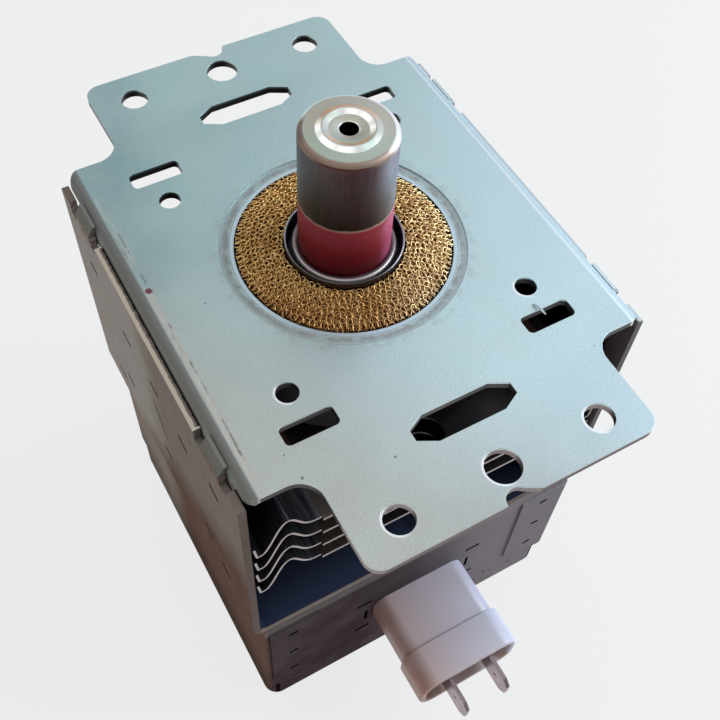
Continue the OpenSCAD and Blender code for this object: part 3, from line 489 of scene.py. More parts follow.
@dataclass(frozen=True)
class YokeSteel(Finish):
    """Dull rolled steel of the yoke: mauve grey outside, painted dark blue within as shade, bare along the cut edges
    with painted light and shade.
    """

    wall_in: float = 35.2
    wall_out: float = 36.5
    top_z: float = -2.6
    floor_z: float = -53.7
    end_y: float = 35.2
    notch_y: float = 20.0
    notch_end: float = 31.4
    slit_tilt: float = 15.0
    slits: Spots = ((25.0, -13.4), (12.0, -18.8), (0.0, -18.4), (24.5, -46.0), (18.3, -40.6), (0.0, -40.8))

    def slit_shade(self, shader: Shader) -> Sock:
        """Mask of the slits cut into the walls, with a margin round each, painted near black as shade."""
        turn = math.radians(self.slit_tilt)
        cosine, sine = math.cos(turn), math.sin(turn)
        along = shader.y * cosine + shader.z * sine
        across = shader.z * cosine - shader.y * sine
        places = self.slits + tuple((-y, z) for y, z in self.slits if y)
        dark = sum(shader.step(abs(along - (y * cosine + z * sine)), 1.75, 1.5)
                   * shader.step(abs(across - (z * cosine - y * sine)), 0.7, 0.4) for y, z in places)
        return dark * shader.step(abs(shader.x), self.wall_in + 0.1, self.wall_in + 0.2)

    def walls(self, shader: Shader, lines: Sock) -> tuple[Sock, Sock]:
        """Rolled outside of the walls, brown towards the foot, with painted shade along a creased line on the left.

        Args:
            shader: the yoke's tree.
            lines: noise along the rolling.

        Returns:
            The colour and the share of brown.
        """
        wander = (shader.noise(0.07, 3.0) - 0.5) * 12.0
        left = shader.step(shader.x, 0.0, -1.0)
        near = shader.step(shader.y + wander, 9.0, -4.0) * left
        low = shader.step(shader.z + shader.y * 0.6 + wander, -34.0, -54.0) * left
        # Brown tones towards the foot of the left wall.
        foot_brown = shader.step(shader.noise(0.25, 4.0), 0.4, 0.65)
        foot_brown = shader.mix(foot_brown, (0.140, 0.085, 0.066), (0.175, 0.11, 0.088))
        # Painted shade along the creased line in the left wall.
        fall = (shader.z + 24.7) / -9.1
        crease_shade = shader.step(abs(shader.y - 1.85 + fall * fall * 4.45), 1.7, 0.5)
        crease_shade = crease_shade * shader.band(shader.z, -33.0, -25.5, 1.2) * left
        # The slits and their margins are painted near black as shade.
        base = shader.coats(
            (0.388, 0.376, 0.362), (shader.step(lines, 0.3, 0.7), (0.475, 0.462, 0.446)),
            (shader.step(shader.noise(0.3, 4.0), 0.5, 0.7) * 0.3, (0.43, 0.37, 0.345)),
            (near, (0.67, 0.645, 0.625), "MULTIPLY"), (low * 0.92, foot_brown),
            (self.slit_shade(shader) * 0.95, (0.006, 0.005, 0.005)), (crease_shade * 0.55, (0.10, 0.075, 0.070)))
        return base, low

    def edges(self, shader: Shader, base: Sock) -> Sock:
        """Bare the wall's top edge, its notches, its crimped tabs and its cut ends, with painted light and shade.

        Args:
            shader: the yoke's tree.
            base: colour so far.

        Returns:
            The new colour.
        """
        side, along = abs(shader.x), abs(shader.y)
        left = shader.step(shader.x, 1.0, -1.0)
        right = 1.0 - left
        ragged = shader.noise(1.3, 4.0)
        edge = side + (ragged - 0.5) * 0.5
        level = shader.band(shader.z, self.top_z - 0.22, self.top_z + 0.1, 0.06)
        # Painted light on the bare top edge: cream on the left, pale blue on the right; its inner half is painted dark
        # as shade.
        outer = level * shader.step(edge, self.wall_out - 0.76, self.wall_out - 0.6)
        inner = level * shader.step(edge, self.wall_out - 1.02, self.wall_out - 1.14)
        middle = shader.step(along, self.notch_y + 0.2, self.notch_y - 0.2)
        # Painted highlight on the burred corner at the notches.
        burr_highlight = shader.band(along, self.notch_y - 0.6, self.notch_y + 0.2, 0.15) * level * left
        past = shader.step(along, self.notch_end - 0.4, self.notch_end + 0.2) * level * left
        # Crimped tabs: dark on the left, painted pale on the right as lit.
        tab = shader.step(shader.z, self.top_z + 0.1, self.top_z + 0.3)
        # Painted shade in the notches, with a red-brown reflection.
        notch_shade = shader.band(along, self.notch_y - 0.2, self.notch_end, 0.15)
        notch_shade = notch_shade * shader.step(shader.z, self.top_z - 3.0, self.top_z - 2.3)
        notch_shade = notch_shade * (1.0 - tab) * shader.step(ragged, 0.42, 0.62)
        front = shader.step(along, self.end_y - 0.3, self.end_y - 0.1)
        return shader.coats(
            base, (level, (0.225, 0.19, 0.17)), (inner, (0.022, 0.019, 0.018)),
            (outer * middle * left, (0.68, 0.60, 0.505)), (outer * right, (0.55, 0.63, 0.67)),
            (burr_highlight * 0.8, (0.85, 0.80, 0.72)), (past, (0.23, 0.19, 0.165)),
            (tab * left * 0.9, (0.205, 0.212, 0.195)), (tab * right * 0.95, (0.66, 0.76, 0.80)),
            (notch_shade * 0.7, (0.20, 0.085, 0.065)), (front * left * 0.85, (0.165, 0.135, 0.125)),
            (front * right * 0.8, (0.145, 0.143, 0.148)))

    def paint(self, shader: Shader) -> bpy.types.Material:
        """Layer the walls, the inside painted dark blue as shade, the floor's edge with a painted light line and the
        bare edges.

        Args:
            shader: empty tree.

        Returns:
            The finished material.
        """
        lines = shader.noise(1.6, 5.0, 0.7, Axis.ALONG_Z)
        base, low = self.walls(shader, lines)
        # Painted shade: the inside is painted dark blue, darker deeper in, with a paler painted patch at the right
        # front.
        within = shader.step(abs(shader.x), self.wall_in + 0.2, self.wall_in)
        within = within * shader.step(shader.z, self.top_z, self.top_z - 1.5)
        deep = shader.step(shader.y, -34.5, -20.0)
        end = shader.step(shader.x, self.wall_in - 0.4, self.wall_in - 0.2)
        end = end * shader.step(shader.y, -29.0, -32.0)
        navy_shade = shader.coats((0.026, 0.034, 0.062), (deep, (0.008, 0.010, 0.020)), (end, (0.20, 0.165, 0.165)))
        base = self.edges(shader, shader.mix(within, base, navy_shade))
        # Painted highlight: a pale line along the floor's front edge.
        sill = shader.step(abs(shader.y), self.end_y - 0.35, self.end_y - 0.15) * within
        sill = sill * shader.step(shader.z, self.floor_z + 0.5, self.floor_z + 0.1)
        base = shader.mix(sill, base, (0.245, 0.195, 0.175))
        return shader.surface(Base_Color=base, Metallic=0.75 - low * 0.55, Roughness=0.46 + lines * 0.14,
                              Specular_IOR_Level=0.0, Specular_Tint=(0.30, 0.23, 0.18),
                              Normal=shader.bump(lines, 0.4, 0.02))


@dataclass(frozen=True)
class FinSheet(Finish):
    """Mill-finish aluminium of the fins, painted dark as a reflection of the inside, pale along the cut edges."""

    edge_y: float = 34.5
    flat_x: float = 22.2

    def paint(self, shader: Shader) -> bpy.types.Material:
        """Roll lines on the faces, a painted tan sheen on the flat, painted shade to the front left and a pale cut
        edge.

        Args:
            shader: empty tree.

        Returns:
            The finished material.
        """
        lines = shader.noise(1.2, 5.0, 0.7, Axis.ALONG_Y)
        flat = shader.step(abs(shader.x), self.flat_x + 1.5, self.flat_x - 1.0)
        shade = flat * shader.step(shader.x, -16.0, -11.0) * shader.step(shader.y, -20.0, -24.0)
        edge = shader.step(abs(shader.y), self.edge_y - 0.1, self.edge_y - 0.02)
        # Painted reflection: dark faces, a tan sheen on the flat and shade to the front left.
        base = shader.coats(
            (0.12, 0.125, 0.16), (shader.step(lines, 0.35, 0.65), (0.27, 0.265, 0.29)),
            (flat * (0.45 + lines * 0.5), (0.40, 0.30, 0.235)), (shade * 0.8, (0.07, 0.064, 0.075)),
            (edge, (0.50, 0.43, 0.42)))
        return shader.surface(Base_Color=base, Metallic=0.95 - edge * 0.3,
                              Roughness=0.24 + lines * 0.1 + edge * 0.2, Normal=shader.bump(lines, 0.3, 0.01))


@dataclass(frozen=True)
class KnitBrass(Finish):
    """Drawn brass wire of the mesh gasket, painted brighter on its crown than in its depth as light and shade."""

    crown_z: float = 0.5
    depth_z: float = -1.0

    def paint(self, shader: Shader) -> bpy.types.Material:
        """Vary the brass from stitch to stitch, and paint light and shade: darker with depth and in the pits, darker
        at the front and brighter to the right.

        Args:
            shader: empty tree.

        Returns:
            The finished material.
        """
        lot = shader.noise(1.1, 2.0)
        dull = shader.step(shader.noise(0.7, 3.0), 0.5, 0.7)
        # Painted light and shade: darker brown at the front, brighter to the right, dark with depth and near black in
        # the pits.
        front = shader.step(shader.plan(-0.40, -0.92), 2.0, 15.0)
        right = shader.step(shader.plan(*RIGHTWARD), 4.0, 15.0)
        low = shader.step(shader.z, self.crown_z - 0.5, self.depth_z + 0.1)
        pit = shader.step(shader.z, self.depth_z + 0.35, self.depth_z + 0.2)
        pit = pit * shader.step(shader.noise(1.9, 2.0), 0.50, 0.58)
        base = shader.coats(
            (0.60, 0.340, 0.105), (shader.step(lot, 0.3, 0.7), (0.98, 0.725, 0.315)),
            (dull * 0.4, (0.62, 0.34, 0.17)), (front * 0.7, (0.34, 0.140, 0.042)),
            (right * 0.45, (1.0, 0.80, 0.49)), (low * 0.8, (0.185, 0.086, 0.026)),
            (pit, (0.016, 0.009, 0.005)))
        return shader.surface(Base_Color=base, Metallic=0.88, Roughness=0.28 + lot * 0.12)


@dataclass(frozen=True)
class RimmedCup(Finish):
    """Sheet of the gasket's cup, painted dark as shade, with a bare grey rim painted as a highlight."""

    rim_z: float = 1.55
    outer_r: float = 10.0

    def paint(self, shader: Shader) -> bpy.types.Material:
        """Paint the inside and the outer wall dark as shade and the bare rim light as a highlight that fades at the
        front.

        Args:
            shader: empty tree.

        Returns:
            The finished material.
        """
        grain = shader.noise(2.0, 4.0)
        # Painted shade inside and on the outer wall; the rim's painted highlight fades at the front.
        front = shader.step(shader.plan(*FRONTWARD), 1.0, 8.0)
        outside = shader.step(shader.radius(), self.outer_r - 0.1, self.outer_r - 0.02)
        rim = shader.step(shader.z + (grain - 0.5) * 0.1, self.rim_z - 0.2, self.rim_z - 0.08)
        base = shader.coats(
            (0.022, 0.026, 0.042), (grain, (0.055, 0.060, 0.08)), (front * 0.7, (0.055, 0.042, 0.036)),
            (outside, (0.108, 0.090, 0.078)), (rim * (0.9 - front * 0.7), (0.40, 0.43, 0.48)))
        return shader.surface(Base_Color=base, Metallic=0.9, Roughness=0.3 + grain * 0.1)


@dataclass(frozen=True)
class RolledSeal(Finish):
    """Seal steel with a dull inner side and a painted highlight along its rolled edge."""

    edge_r: float = 8.4

    def paint(self, shader: Shader) -> bpy.types.Material:
        """Paint a highlight on the roll outside its crest.

        Args:
            shader: empty tree.

        Returns:
            The finished material.
        """
        grain = shader.noise(2.0, 4.0)
        # Painted highlight along the rolled edge.
        edge = shader.step(shader.radius() + (grain - 0.5) * 0.1, self.edge_r - 0.15, self.edge_r + 0.05)
        base = shader.mix(edge, (0.225, 0.165, 0.180), (0.56, 0.50, 0.495))
        return shader.surface(Base_Color=base, Metallic=0.9, Roughness=0.4 + grain * 0.1,
                              Normal=shader.bump(grain, 0.4, 0.01))


@dataclass(frozen=True)
class CapSteel(Finish):
    """Satin stainless of the antenna cap, turned round its axis, with a braze line at its foot."""

    foot_z: float = 11.2
    top_z: float = 25.25
    cap_r: float = 7.7
    round_r: float = 1.0
    bead_r: float = 4.03
    bead_half: float = 1.03
    hole_r: float = 1.48

    def bead(self, shader: Shader, base: Sock) -> Sock:
        """Paint a white highlight on the bead's slopes to the left, a copper-pink reflection on those to the back and
        a light line round the hole.

        Args:
            shader: the cap's tree.
            base: colour so far.

        Returns:
            The new colour.
        """
        radius = shader.radius()
        bead = shader.band(radius, self.bead_r - self.bead_half, self.bead_r + self.bead_half, 0.12)
        bead = bead * shader.step(shader.z, self.top_z - 0.2, self.top_z - 0.1)
        slope = shader.step(radius, self.bead_r - 0.15, self.bead_r + 0.15) * 2.0 - 1.0
        # Painted highlights: white on the left slopes and round the hole; a copper-pink painted reflection on the back
        # slopes.
        left = slope * shader.plan(-0.849, -0.529) / radius
        back = slope * shader.plan(*BACKWARD) / radius
        rim = shader.band(radius, self.hole_r, self.hole_r + 0.2, 0.06)
        return shader.coats(
            base, (bead * shader.step(left, 0.2, 0.6) * 0.9, (1.0, 1.0, 0.98)),
            (bead * shader.step(back, 0.35, 0.7) * 0.85, (1.0, 0.72, 0.50)), (rim * 0.6, (0.92, 0.92, 0.90)))

    def paint(self, shader: Shader) -> bpy.types.Material:
        """Layer the side with painted shade and reflections, the top painted lighter as lit, painted highlights and
        reflections on the rounding, and the braze line.

        Args:
            shader: empty tree.

        Returns:
            The finished material.
        """
        lines = shader.noise(1.7, 5.0, 0.7, Axis.ALONG_Z)
        across = shader.plan(*RIGHTWARD) / self.cap_r
        back = shader.plan(*BACKWARD) / self.cap_r
        # Painted light across the side: grey-brown shade to the left and middle, bluish light to the right, pinker
        # higher up.
        base = shader.ramp(across * 0.5 + 0.5, (
            (0.0, (0.125, 0.130, 0.137)), (0.3, (0.118, 0.098, 0.096)), (0.55, (0.112, 0.064, 0.066)),
            (0.75, (0.135, 0.090, 0.096)), (0.88, (0.19, 0.180, 0.21)), (1.0, (0.335, 0.345, 0.43))))
        high = shader.step(shader.z, self.foot_z + 3.0, self.top_z - 2.0)
        top = shader.step(shader.z, self.top_z - 0.9, self.top_z - 0.35)
        # Painted light: the flat top is painted lighter than the side, greener towards the front.
        lit_top = shader.mix(shader.step(back, 0.3, -0.5), (0.71, 0.665, 0.565), (0.62, 0.685, 0.585))
        base = self.bead(shader, shader.coats(
            base, (shader.step(lines, 0.35, 0.65) * 0.28, (0.20, 0.175, 0.172)),
            (high, (0.97, 0.80, 0.80), "MULTIPLY"), (top, lit_top)))
        turn_r, turn_z = self.cap_r - self.round_r, self.top_z - self.round_r
        turn = shader.step(shader.radius(), turn_r + 0.05, turn_r + 0.25)
        turn = turn * shader.step(shader.z, turn_z - 0.1, turn_z + 0.15)
        front = turn * shader.step(back, -0.15, -0.6)
        line = shader.band(shader.z, turn_z, self.top_z - 0.62, 0.08) * shader.step(back, -0.7, -0.95)
        ragged = shader.z + (shader.noise(0.8, 4.0) - 0.5) * 0.55
        braze = shader.step(ragged, self.foot_z + 0.36, self.foot_z + 0.22)
        # Painted highlights and reflections on the rounding: white to the back right, dark to the left, cyan to the
        # back, tan and a dark line at the front.
        base = shader.coats(
            base, (turn * shader.step(across * 0.85 + back * 0.5, 0.1, 0.6), WHITE),
            (turn * shader.step(across, -0.5, -0.85), (0.16, 0.135, 0.12)),
            (turn * shader.step(back, 0.05, 0.4) * shader.step(across, 0.5, 0.0), (0.80, 1.0, 1.0)),
            (front, (0.34, 0.255, 0.205)), (line * 0.9, (0.11, 0.030, 0.028)), (braze, (0.62, 0.46, 0.33)))
        rough = 0.40 + lines * 0.1 + braze * 0.1 - top * 0.2 + front * 0.3
        return shader.surface(Base_Color=base, Metallic=1.0 - braze * 0.6 - front * 0.25, Roughness=rough,
                              Normal=shader.bump(lines, 0.2, 0.006))


@dataclass(frozen=True)
class MaroonCeramic(Finish):
    """Fired maroon ceramic of the antenna, satin, with a faint grain."""

    foot_z: float = 0.0
    top_z: float = 11.2

    def paint(self, shader: Shader) -> bpy.types.Material:
        """Vary the maroon, lighten it upwards as painted light and just under the braze, and add a painted purple
        sheen on the right.

        Args:
            shader: empty tree.

        Returns:
            The finished material.
        """
        cloud = shader.noise(0.35, 4.0)
        grain = shader.noise(4.0, 3.0)
        # Painted light: lighter upwards and a purple sheen on the right.
        high = shader.step(shader.z, self.foot_z, self.top_z)
        right = shader.step(shader.plan(*RIGHTWARD), 5.2, 7.3)
        pale = shader.step(shader.z + (grain - 0.5) * 0.3, self.top_z - 0.35, self.top_z - 0.05)
        base = shader.coats(
            (0.158, 0.003, 0.008), (high * 0.7 + cloud * 0.3, (0.265, 0.011, 0.022)),
            (right * (0.9 - high * 0.3), (0.58, 0.105, 0.225)), (pale * 0.5, (0.50, 0.30, 0.24)))
        return shader.surface(Base_Color=base, Roughness=0.42 + grain * 0.12, Specular_IOR_Level=0.4,
                              Normal=shader.bump(grain, 0.3, 0.01))


@dataclass(frozen=True)
class BoxSteel(Finish):
    """Tarnished plating of the filter box, mauve grey with rusty stains low down."""

    top_z: float = -55.0
    seam_z: float = -88.0
    front_y: float = -35.9
    flap_t: float = 0.5
    flap_x: float = 23.4
    flap_low_z: float = -82.6

    def sunk_shade(self, shader: Shader) -> Sock:
        """Mask of the slots and pressed marks set into the front, which are painted near black as shade."""
        side = abs(shader.x)
        flap = shader.step(side, self.flap_x + 0.1, self.flap_x + 0.3)
        flap = flap * shader.step(shader.z, self.flap_low_z, self.flap_low_z + 0.3)
        depth = shader.y - (flap * -self.flap_t + self.front_y)
        below = shader.step(shader.z, self.top_z - 2.4, self.top_z - 2.8)
        return shader.band(depth, 0.07, 3.0, 0.04) * shader.step(side, 33.6, 33.3) * below

    def paint(self, shader: Shader) -> bpy.types.Material:
        """Layer tarnish, painted light to the right, a brown left side, stains along the lid's seam, a painted
        highlight on the top bend and painted shade in the slots.

        Args:
            shader: empty tree.

        Returns:
            The finished material.
        """
        cloud = shader.noise(0.12, 5.0, 0.6)
        grain = shader.noise(1.8, 4.0, 0.65)
        # Painted light: the front is painted lighter to the right.
        right = shader.step(shader.x, -16.0, 22.0)
        side = shader.step(shader.x, -34.0, -34.6)
        brown = shader.step(shader.y + (cloud - 0.5) * 10.0, 15.0, 2.0)
        foot = shader.step(shader.z, self.seam_z + 14.0, self.seam_z - 2.0)
        flank = shader.coats((0.34, 0.292, 0.25), (brown, (0.165, 0.103, 0.080)),
                             (foot, (0.62, 0.64, 0.65), "MULTIPLY"))
        stain = shader.step(shader.noise(0.45, 4.0, 0.6), 0.54, 0.66)
        stain = stain * shader.band(shader.z, self.seam_z - 4.0, self.seam_z + 2.0, 3.0)
        # Painted highlight along the bend at the top.
        bright = shader.step(shader.z, self.top_z - 2.0, self.top_z - 0.6)
        base = shader.coats(
            (0.066, 0.052, 0.054), (shader.step(cloud, 0.3, 0.7), (0.098, 0.082, 0.087)),
            (right * 0.85, (0.30, 0.284, 0.303)), (side * 0.95, flank), (stain * 0.8, (0.075, 0.020, 0.018)),
            (bright * 0.5, (0.25, 0.215, 0.205)), (self.sunk_shade(shader), (0.011, 0.010, 0.012)))
        return shader.surface(Base_Color=base, Metallic=0.7 - side * 0.5, Roughness=0.42 + grain * 0.18,
                              Specular_IOR_Level=0.0, Specular_Tint=(0.4, 0.35, 0.36),
                              Normal=shader.bump(grain, 0.35, 0.02))


@dataclass(frozen=True)
class WhiteResin(Finish):
    """Moulded white resin of the feed-through capacitor, a little aged, with light painted across it."""

    end_y: float = -56.3
    collar_y: float = -48.3
    axis_z: float = -73.7
    recess_h: float = 4.5
    recess_w: float = 10.2
    half_w: float = 11.3

    def paint(self, shader: Shader) -> bpy.types.Material:
        """Paint light across the body, warm and dark to the left and bluish to the right, paint the collar lighter as
        lit, tan the recess and vary the gloss.

        Args:
            shader: empty tree.

        Returns:
            The finished material.
        """
        cloud = shader.noise(0.15, 3.0)
        grain = shader.noise(5.0, 3.0)
        # Painted light: warm and dark to the left, bluish to the right.
        base = shader.ramp(shader.x / (2.0 * self.half_w) + 0.5, (
            (0.0, (0.32, 0.135, 0.105)), (0.16, (0.39, 0.29, 0.285)), (0.5, (0.42, 0.36, 0.41)),
            (0.82, (0.455, 0.43, 0.50)), (1.0, (0.50, 0.54, 0.71))))
        # Painted light: the collar is painted lighter.
        collar = shader.step(shader.y, self.collar_y + 0.2, self.collar_y)
        deep = shader.step(abs(shader.z - self.axis_z), self.recess_h, self.recess_h - 0.4)
        deep = deep * shader.step(abs(shader.x), self.recess_w, self.recess_w - 0.4)
        deep = deep * shader.step(shader.y, self.end_y + 6.0, self.end_y + 4.5)
        end = shader.step(shader.y, self.end_y + 0.3, self.end_y + 0.05)
        base = shader.coats(
            base, (shader.step(cloud, 0.35, 0.7) * 0.3, (0.40, 0.335, 0.335)),
            (collar, (1.19, 1.22, 1.22), "MULTIPLY"), (deep * 0.9 + end * 0.3, (0.46, 0.33, 0.25)))
        return shader.surface(Base_Color=base, Roughness=0.33 + grain * 0.1, Specular_IOR_Level=0.5,
                              Normal=shader.bump(grain, 0.2, 0.008))


@dataclass(frozen=True)
class SolidMineral(Finish):
    """Fired or sintered mineral: two close tones, pores and a dry surface."""

    light: Color = (0.8, 0.7, 0.7)
    dark: Color = (0.6, 0.5, 0.5)
    roughness: float = 0.6

    def paint(self, shader: Shader) -> bpy.types.Material:
        """Mix the tones by grain and sink the pores.

        Args:
            shader: empty tree.

        Returns:
            The finished material.
        """
        grain = shader.noise(1.5, 5.0, 0.65)
        pores = shader.step(shader.cells(1.1), 0.12, 0.05)
        base = shader.mix(shader.step(grain, 0.35, 0.65), self.dark, self.light)
        base = shader.mix(pores * 0.6, base, tuple(tone * 0.4 for tone in self.dark))
        return shader.surface(Base_Color=base, Roughness=self.roughness + grain * 0.1,
                              Normal=shader.bump(grain - pores * 0.4, 0.4, 0.03))


class Finishes:
    """Every finish of the object, by what it is on."""

    PLATE = ZincPlate("zinc_plate", "plate_zinc")
    YOKE = YokeSteel("rolled_yoke_steel", "yoke_steel")
    FIN = FinSheet("fin_aluminium_sheet", "fin_aluminium")
    KNIT = KnitBrass("knitted_brass", "mesh_brass")
    CAP = CapSteel("satin_cap_steel", "cap_steel")
    CERAMIC = MaroonCeramic("maroon_ceramic", "antenna_ceramic")
    BOX = BoxSteel("tarnished_box_steel", "box_steel")
    RESIN = WhiteResin("white_resin", "capacitor_resin")
    CUP = RimmedCup("dark_cup_steel", "cup_steel")
    SEAL = WorkedMetal("bright_seal_steel", "seal_steel", (0.46, 0.41, 0.42), (0.31, 0.265, 0.27), 0.36)
    ROLL = RolledSeal("rolled_seal_steel", "seal_steel")
    BLADE = WorkedMetal("tinned_blade", "terminal_tin", (0.45, 0.355, 0.375), (0.29, 0.215, 0.235),
                        0.36, 0.9, 2.5, Axis.ALONG_Y)
    RIVET = WorkedMetal("rivet_steel", "rivet_steel", (0.42, 0.41, 0.41), (0.26, 0.25, 0.25), 0.4)
    COPPER = WorkedMetal("brazed_copper", "copper", (0.72, 0.36, 0.20), (0.45, 0.19, 0.10), 0.32)
    POLE = WorkedMetal("pole_steel", "pole_steel", (0.36, 0.36, 0.37), (0.24, 0.24, 0.25), 0.4)
    TUNGSTEN = WorkedMetal("tungsten_wire", "tungsten", (0.30, 0.30, 0.32), (0.17, 0.17, 0.18), 0.45)
    ENAMEL = WorkedMetal("enamelled_wire", "choke_wire", (0.46, 0.18, 0.07), (0.28, 0.10, 0.04), 0.22, 0.8)
    FERRITE = SolidMineral("sintered_ferrite", "ferrite", (0.030, 0.031, 0.036), (0.016, 0.016, 0.019), 0.5)
    STEM = SolidMineral("stem_alumina", "stem_ceramic", (0.80, 0.64, 0.63), (0.70, 0.54, 0.53), 0.55)


class Shell:
    """A mesh in the making, in millimetres."""

    def __init__(self) -> None:
        """Start empty."""
        self.points: list[tuple[float, float, float]] = []
        self.faces: list[tuple[int, ...]] = []
        self.flat: set[int] = set()

    def ring(self, points: Iterable[Sequence[float]]) -> list[int]:
        """Add points and return their numbers."""
        start = len(self.points)
        self.points.extend(tuple(point) for point in points)
        return list(range(start, len(self.points)))

    def strip(self, first: Sequence[int], second: Sequence[int], closed: bool = True) -> None:
        """Join two rows of points by four-sided faces."""
        count = len(first)
        for k in range(count if closed else count - 1):
            after = (k + 1) % count
            self.faces.append((first[k], first[after], second[after], second[k]))

    def fill(self, loops: Sequence[Sequence[int]]) -> None:
        """Fill an outline and its holes with flat triangles."""
        order = [number for loop in loops for number in loop]
        corners = [[Vector(self.points[number]) for number in loop] for loop in loops]
        for triangle in tessellate_polygon(corners):
            self.flat.add(len(self.faces))
            self.faces.append(tuple(order[k] for k in triangle))

    def lathe(self, profile: Sequence[tuple[float, float]], segments: int = 128) -> None:
        """Turn a closed section, given as radius and height, round the Z axis."""
        angles = [math.tau * k / segments for k in range(segments)]
        rings = [self.ring((r * math.cos(a), r * math.sin(a), z) for a in angles) for r, z in profile]
        for first, second in zip(rings, rings[1:] + rings[:1]):
            self.strip(first, second)

    def rolled_sheet(self, outline: Loop, holes: Sequence[Loop], layers: Sequence[tuple[float, float]],
                     place: Place) -> None:
        """Add a cut sheet whose edges follow a section.

        Args:
            outline: outer edge.
            holes: inner edges.
            layers: the edge's section from one face to the other, as inset and height.
            place: maps the sheet's two directions and its height into the frame.
        """
        loops = [turned(outline, True)] + [turned(hole, False) for hole in holes]
        first, last = [], []
        for loop in loops:
            rings = [self.ring(place(u, v, height) for u, v in inset(loop, depth))
                     for depth, height in layers]
            for lower, upper in zip(rings, rings[1:]):
                self.strip(lower, upper)
            first.append(rings[0])
            last.append(rings[-1])
        self.fill(first)
        self.fill(last)

    def to_object(self, name: str, finish: Finish, sharp: float = 35.0) -> bpy.types.Object:
        """Make the piece.

        Args:
            name: the piece's name.
            finish: its finish.
            sharp: angle in degrees above which an edge stays sharp.

        Returns:
            The new object, with its faces pointing out.
        """
        mesh = bpy.data.meshes.new(name)
        mesh.from_pydata([tuple(MM * c for c in point) for point in self.points], [], self.faces)
        for number, polygon in enumerate(mesh.polygons):
            polygon.use_smooth = number not in self.flat
        work = bmesh.new()
        work.from_mesh(mesh)
        bmesh.ops.recalc_face_normals(work, faces=work.faces)
        work.to_mesh(mesh)
        work.free()
        mesh.set_sharp_from_angle(angle=math.radians(sharp))
        return linked(name, mesh, finish)


def linked(name: str, mesh: bpy.types.Mesh, finish: Finish) -> bpy.types.Object:
    """Put a mesh into the scene with its finish."""
    piece = bpy.data.objects.new(name, mesh)
    bpy.context.scene.collection.objects.link(piece)
    mesh.materials.clear()
    mesh.materials.append(finish.material())
    return piece


def turned(loop: Loop, leftward: bool) -> Loop:
    """The loop, running anticlockwise when leftward."""
    area = sum(a[0] * b[1] - b[0] * a[1] for a, b in zip(loop, loop[1:] + loop[:1]))
    return loop if (area > 0) == leftward else loop[::-1]


def inset(loop: Loop, depth: float) -> Loop:
    """The loop moved to its left by a depth, with mitred corners."""
    moved = []
    count = len(loop)
    for k in range(count):
        before, here, after = Vector(loop[k - 1]), Vector(loop[k]), Vector(loop[(k + 1) % count])
        first, second = (here - before).normalized(), (after - here).normalized()
        normals = Vector((-first.y - second.y, first.x + second.x))
        spread = 1.0 + first.dot(second)
        moved.append(tuple(here + normals * (depth / max(spread, 0.3))))
    return moved


def circle_loop(x: float, y: float, r: float, count: int = 48) -> Loop:
    """Points of a circle."""
    angles = [math.tau * k / count for k in range(count)]
    return [(x + r * math.cos(angle), y + r * math.sin(angle)) for angle in angles]


def rounded_loop(corners: Sequence[tuple[float, float, float]], steps: int = 8) -> Loop:
    """Polygon with rounded corners.

    Args:
        corners: each corner's two coordinates and its radius.
        steps: stretches in each rounding.

    Returns:
        The closed loop.
    """
    loop: Loop = []
    count = len(corners)
    for k, (x, y, r) in enumerate(corners):
        here = Vector((x, y))
        back = (Vector(corners[k - 1][:2]) - here).normalized()
        ahead = (Vector(corners[(k + 1) % count][:2]) - here).normalized()
        half = back.angle(ahead) / 2
        centre = here + (back + ahead).normalized() * (r / math.sin(half))
        start = here + back * (r / math.tan(half)) - centre
        end = here + ahead * (r / math.tan(half)) - centre
        sweep = start.angle_signed(end)
        for n in range(steps + 1):
            turn = -sweep * n / steps
            cosine, sine = math.cos(turn), math.sin(turn)
            loop.append((centre.x + start.x * cosine - start.y * sine,
                         centre.y + start.x * sine + start.y * cosine))
    return loop


def flattened(piece: bpy.types.Object) -> bpy.types.Object:
    """The piece with its modifiers turned into plain mesh."""
    held = bpy.context.evaluated_depsgraph_get()
    mesh = bpy.data.meshes.new_from_object(piece.evaluated_get(held))
    piece.modifiers.clear()
    old, piece.data = piece.data, mesh
    bpy.data.meshes.remove(old)
    return piece


def softened(node: str, name: str, finish: Finish, width: float, segments: int = 2) -> bpy.types.Object:
    """A copy of a CAD node with its sharp edges eased.

    Args:
        node: the node that is copied.
        name: the new piece's name.
        finish: its finish.
        width: width of the eased edges.
        segments: steps across an eased edge.

    Returns:
        The new piece.
    """
    work = bmesh.new()
    work.from_mesh(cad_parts[node].data)
    bmesh.ops.remove_doubles(work, verts=work.verts, dist=1e-6)
    bmesh.ops.dissolve_limit(work, angle_limit=math.radians(0.6), verts=work.verts, edges=work.edges)
    numbers = {corner: number for number, corner in enumerate(work.verts)}
    mesh = bpy.data.meshes.new(name)
    mesh.from_pydata([corner.co[:] for corner in work.verts], [],
                     [[numbers[corner] for corner in face.verts] for face in work.faces])
    work.free()
    mesh.shade_smooth()
    piece = linked(name, mesh, finish)
    bevel = piece.modifiers.new("eased_edges", "BEVEL")
    bevel.limit_method = "ANGLE"
    bevel.angle_limit = math.radians(32.0)
    bevel.width = width * MM
    bevel.segments = segments
    bevel.harden_normals = True
    return flattened(piece)


def settle(piece: bpy.types.Object, finish: Finish, *nodes: str) -> bpy.types.Object:
    """Hand a finished piece to the frame.

    Args:
        piece: the finished piece.
        finish: its finish; not used.
        nodes: the CAD nodes that it stands for.

    Returns:
        The same piece.
    """
    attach(piece, BODY)
    if nodes:
        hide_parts(*nodes)
    log.info("%s: %d faces, stands for %s", piece.name, len(piece.data.polygons), ", ".join(nodes) or "nothing")
    return piece


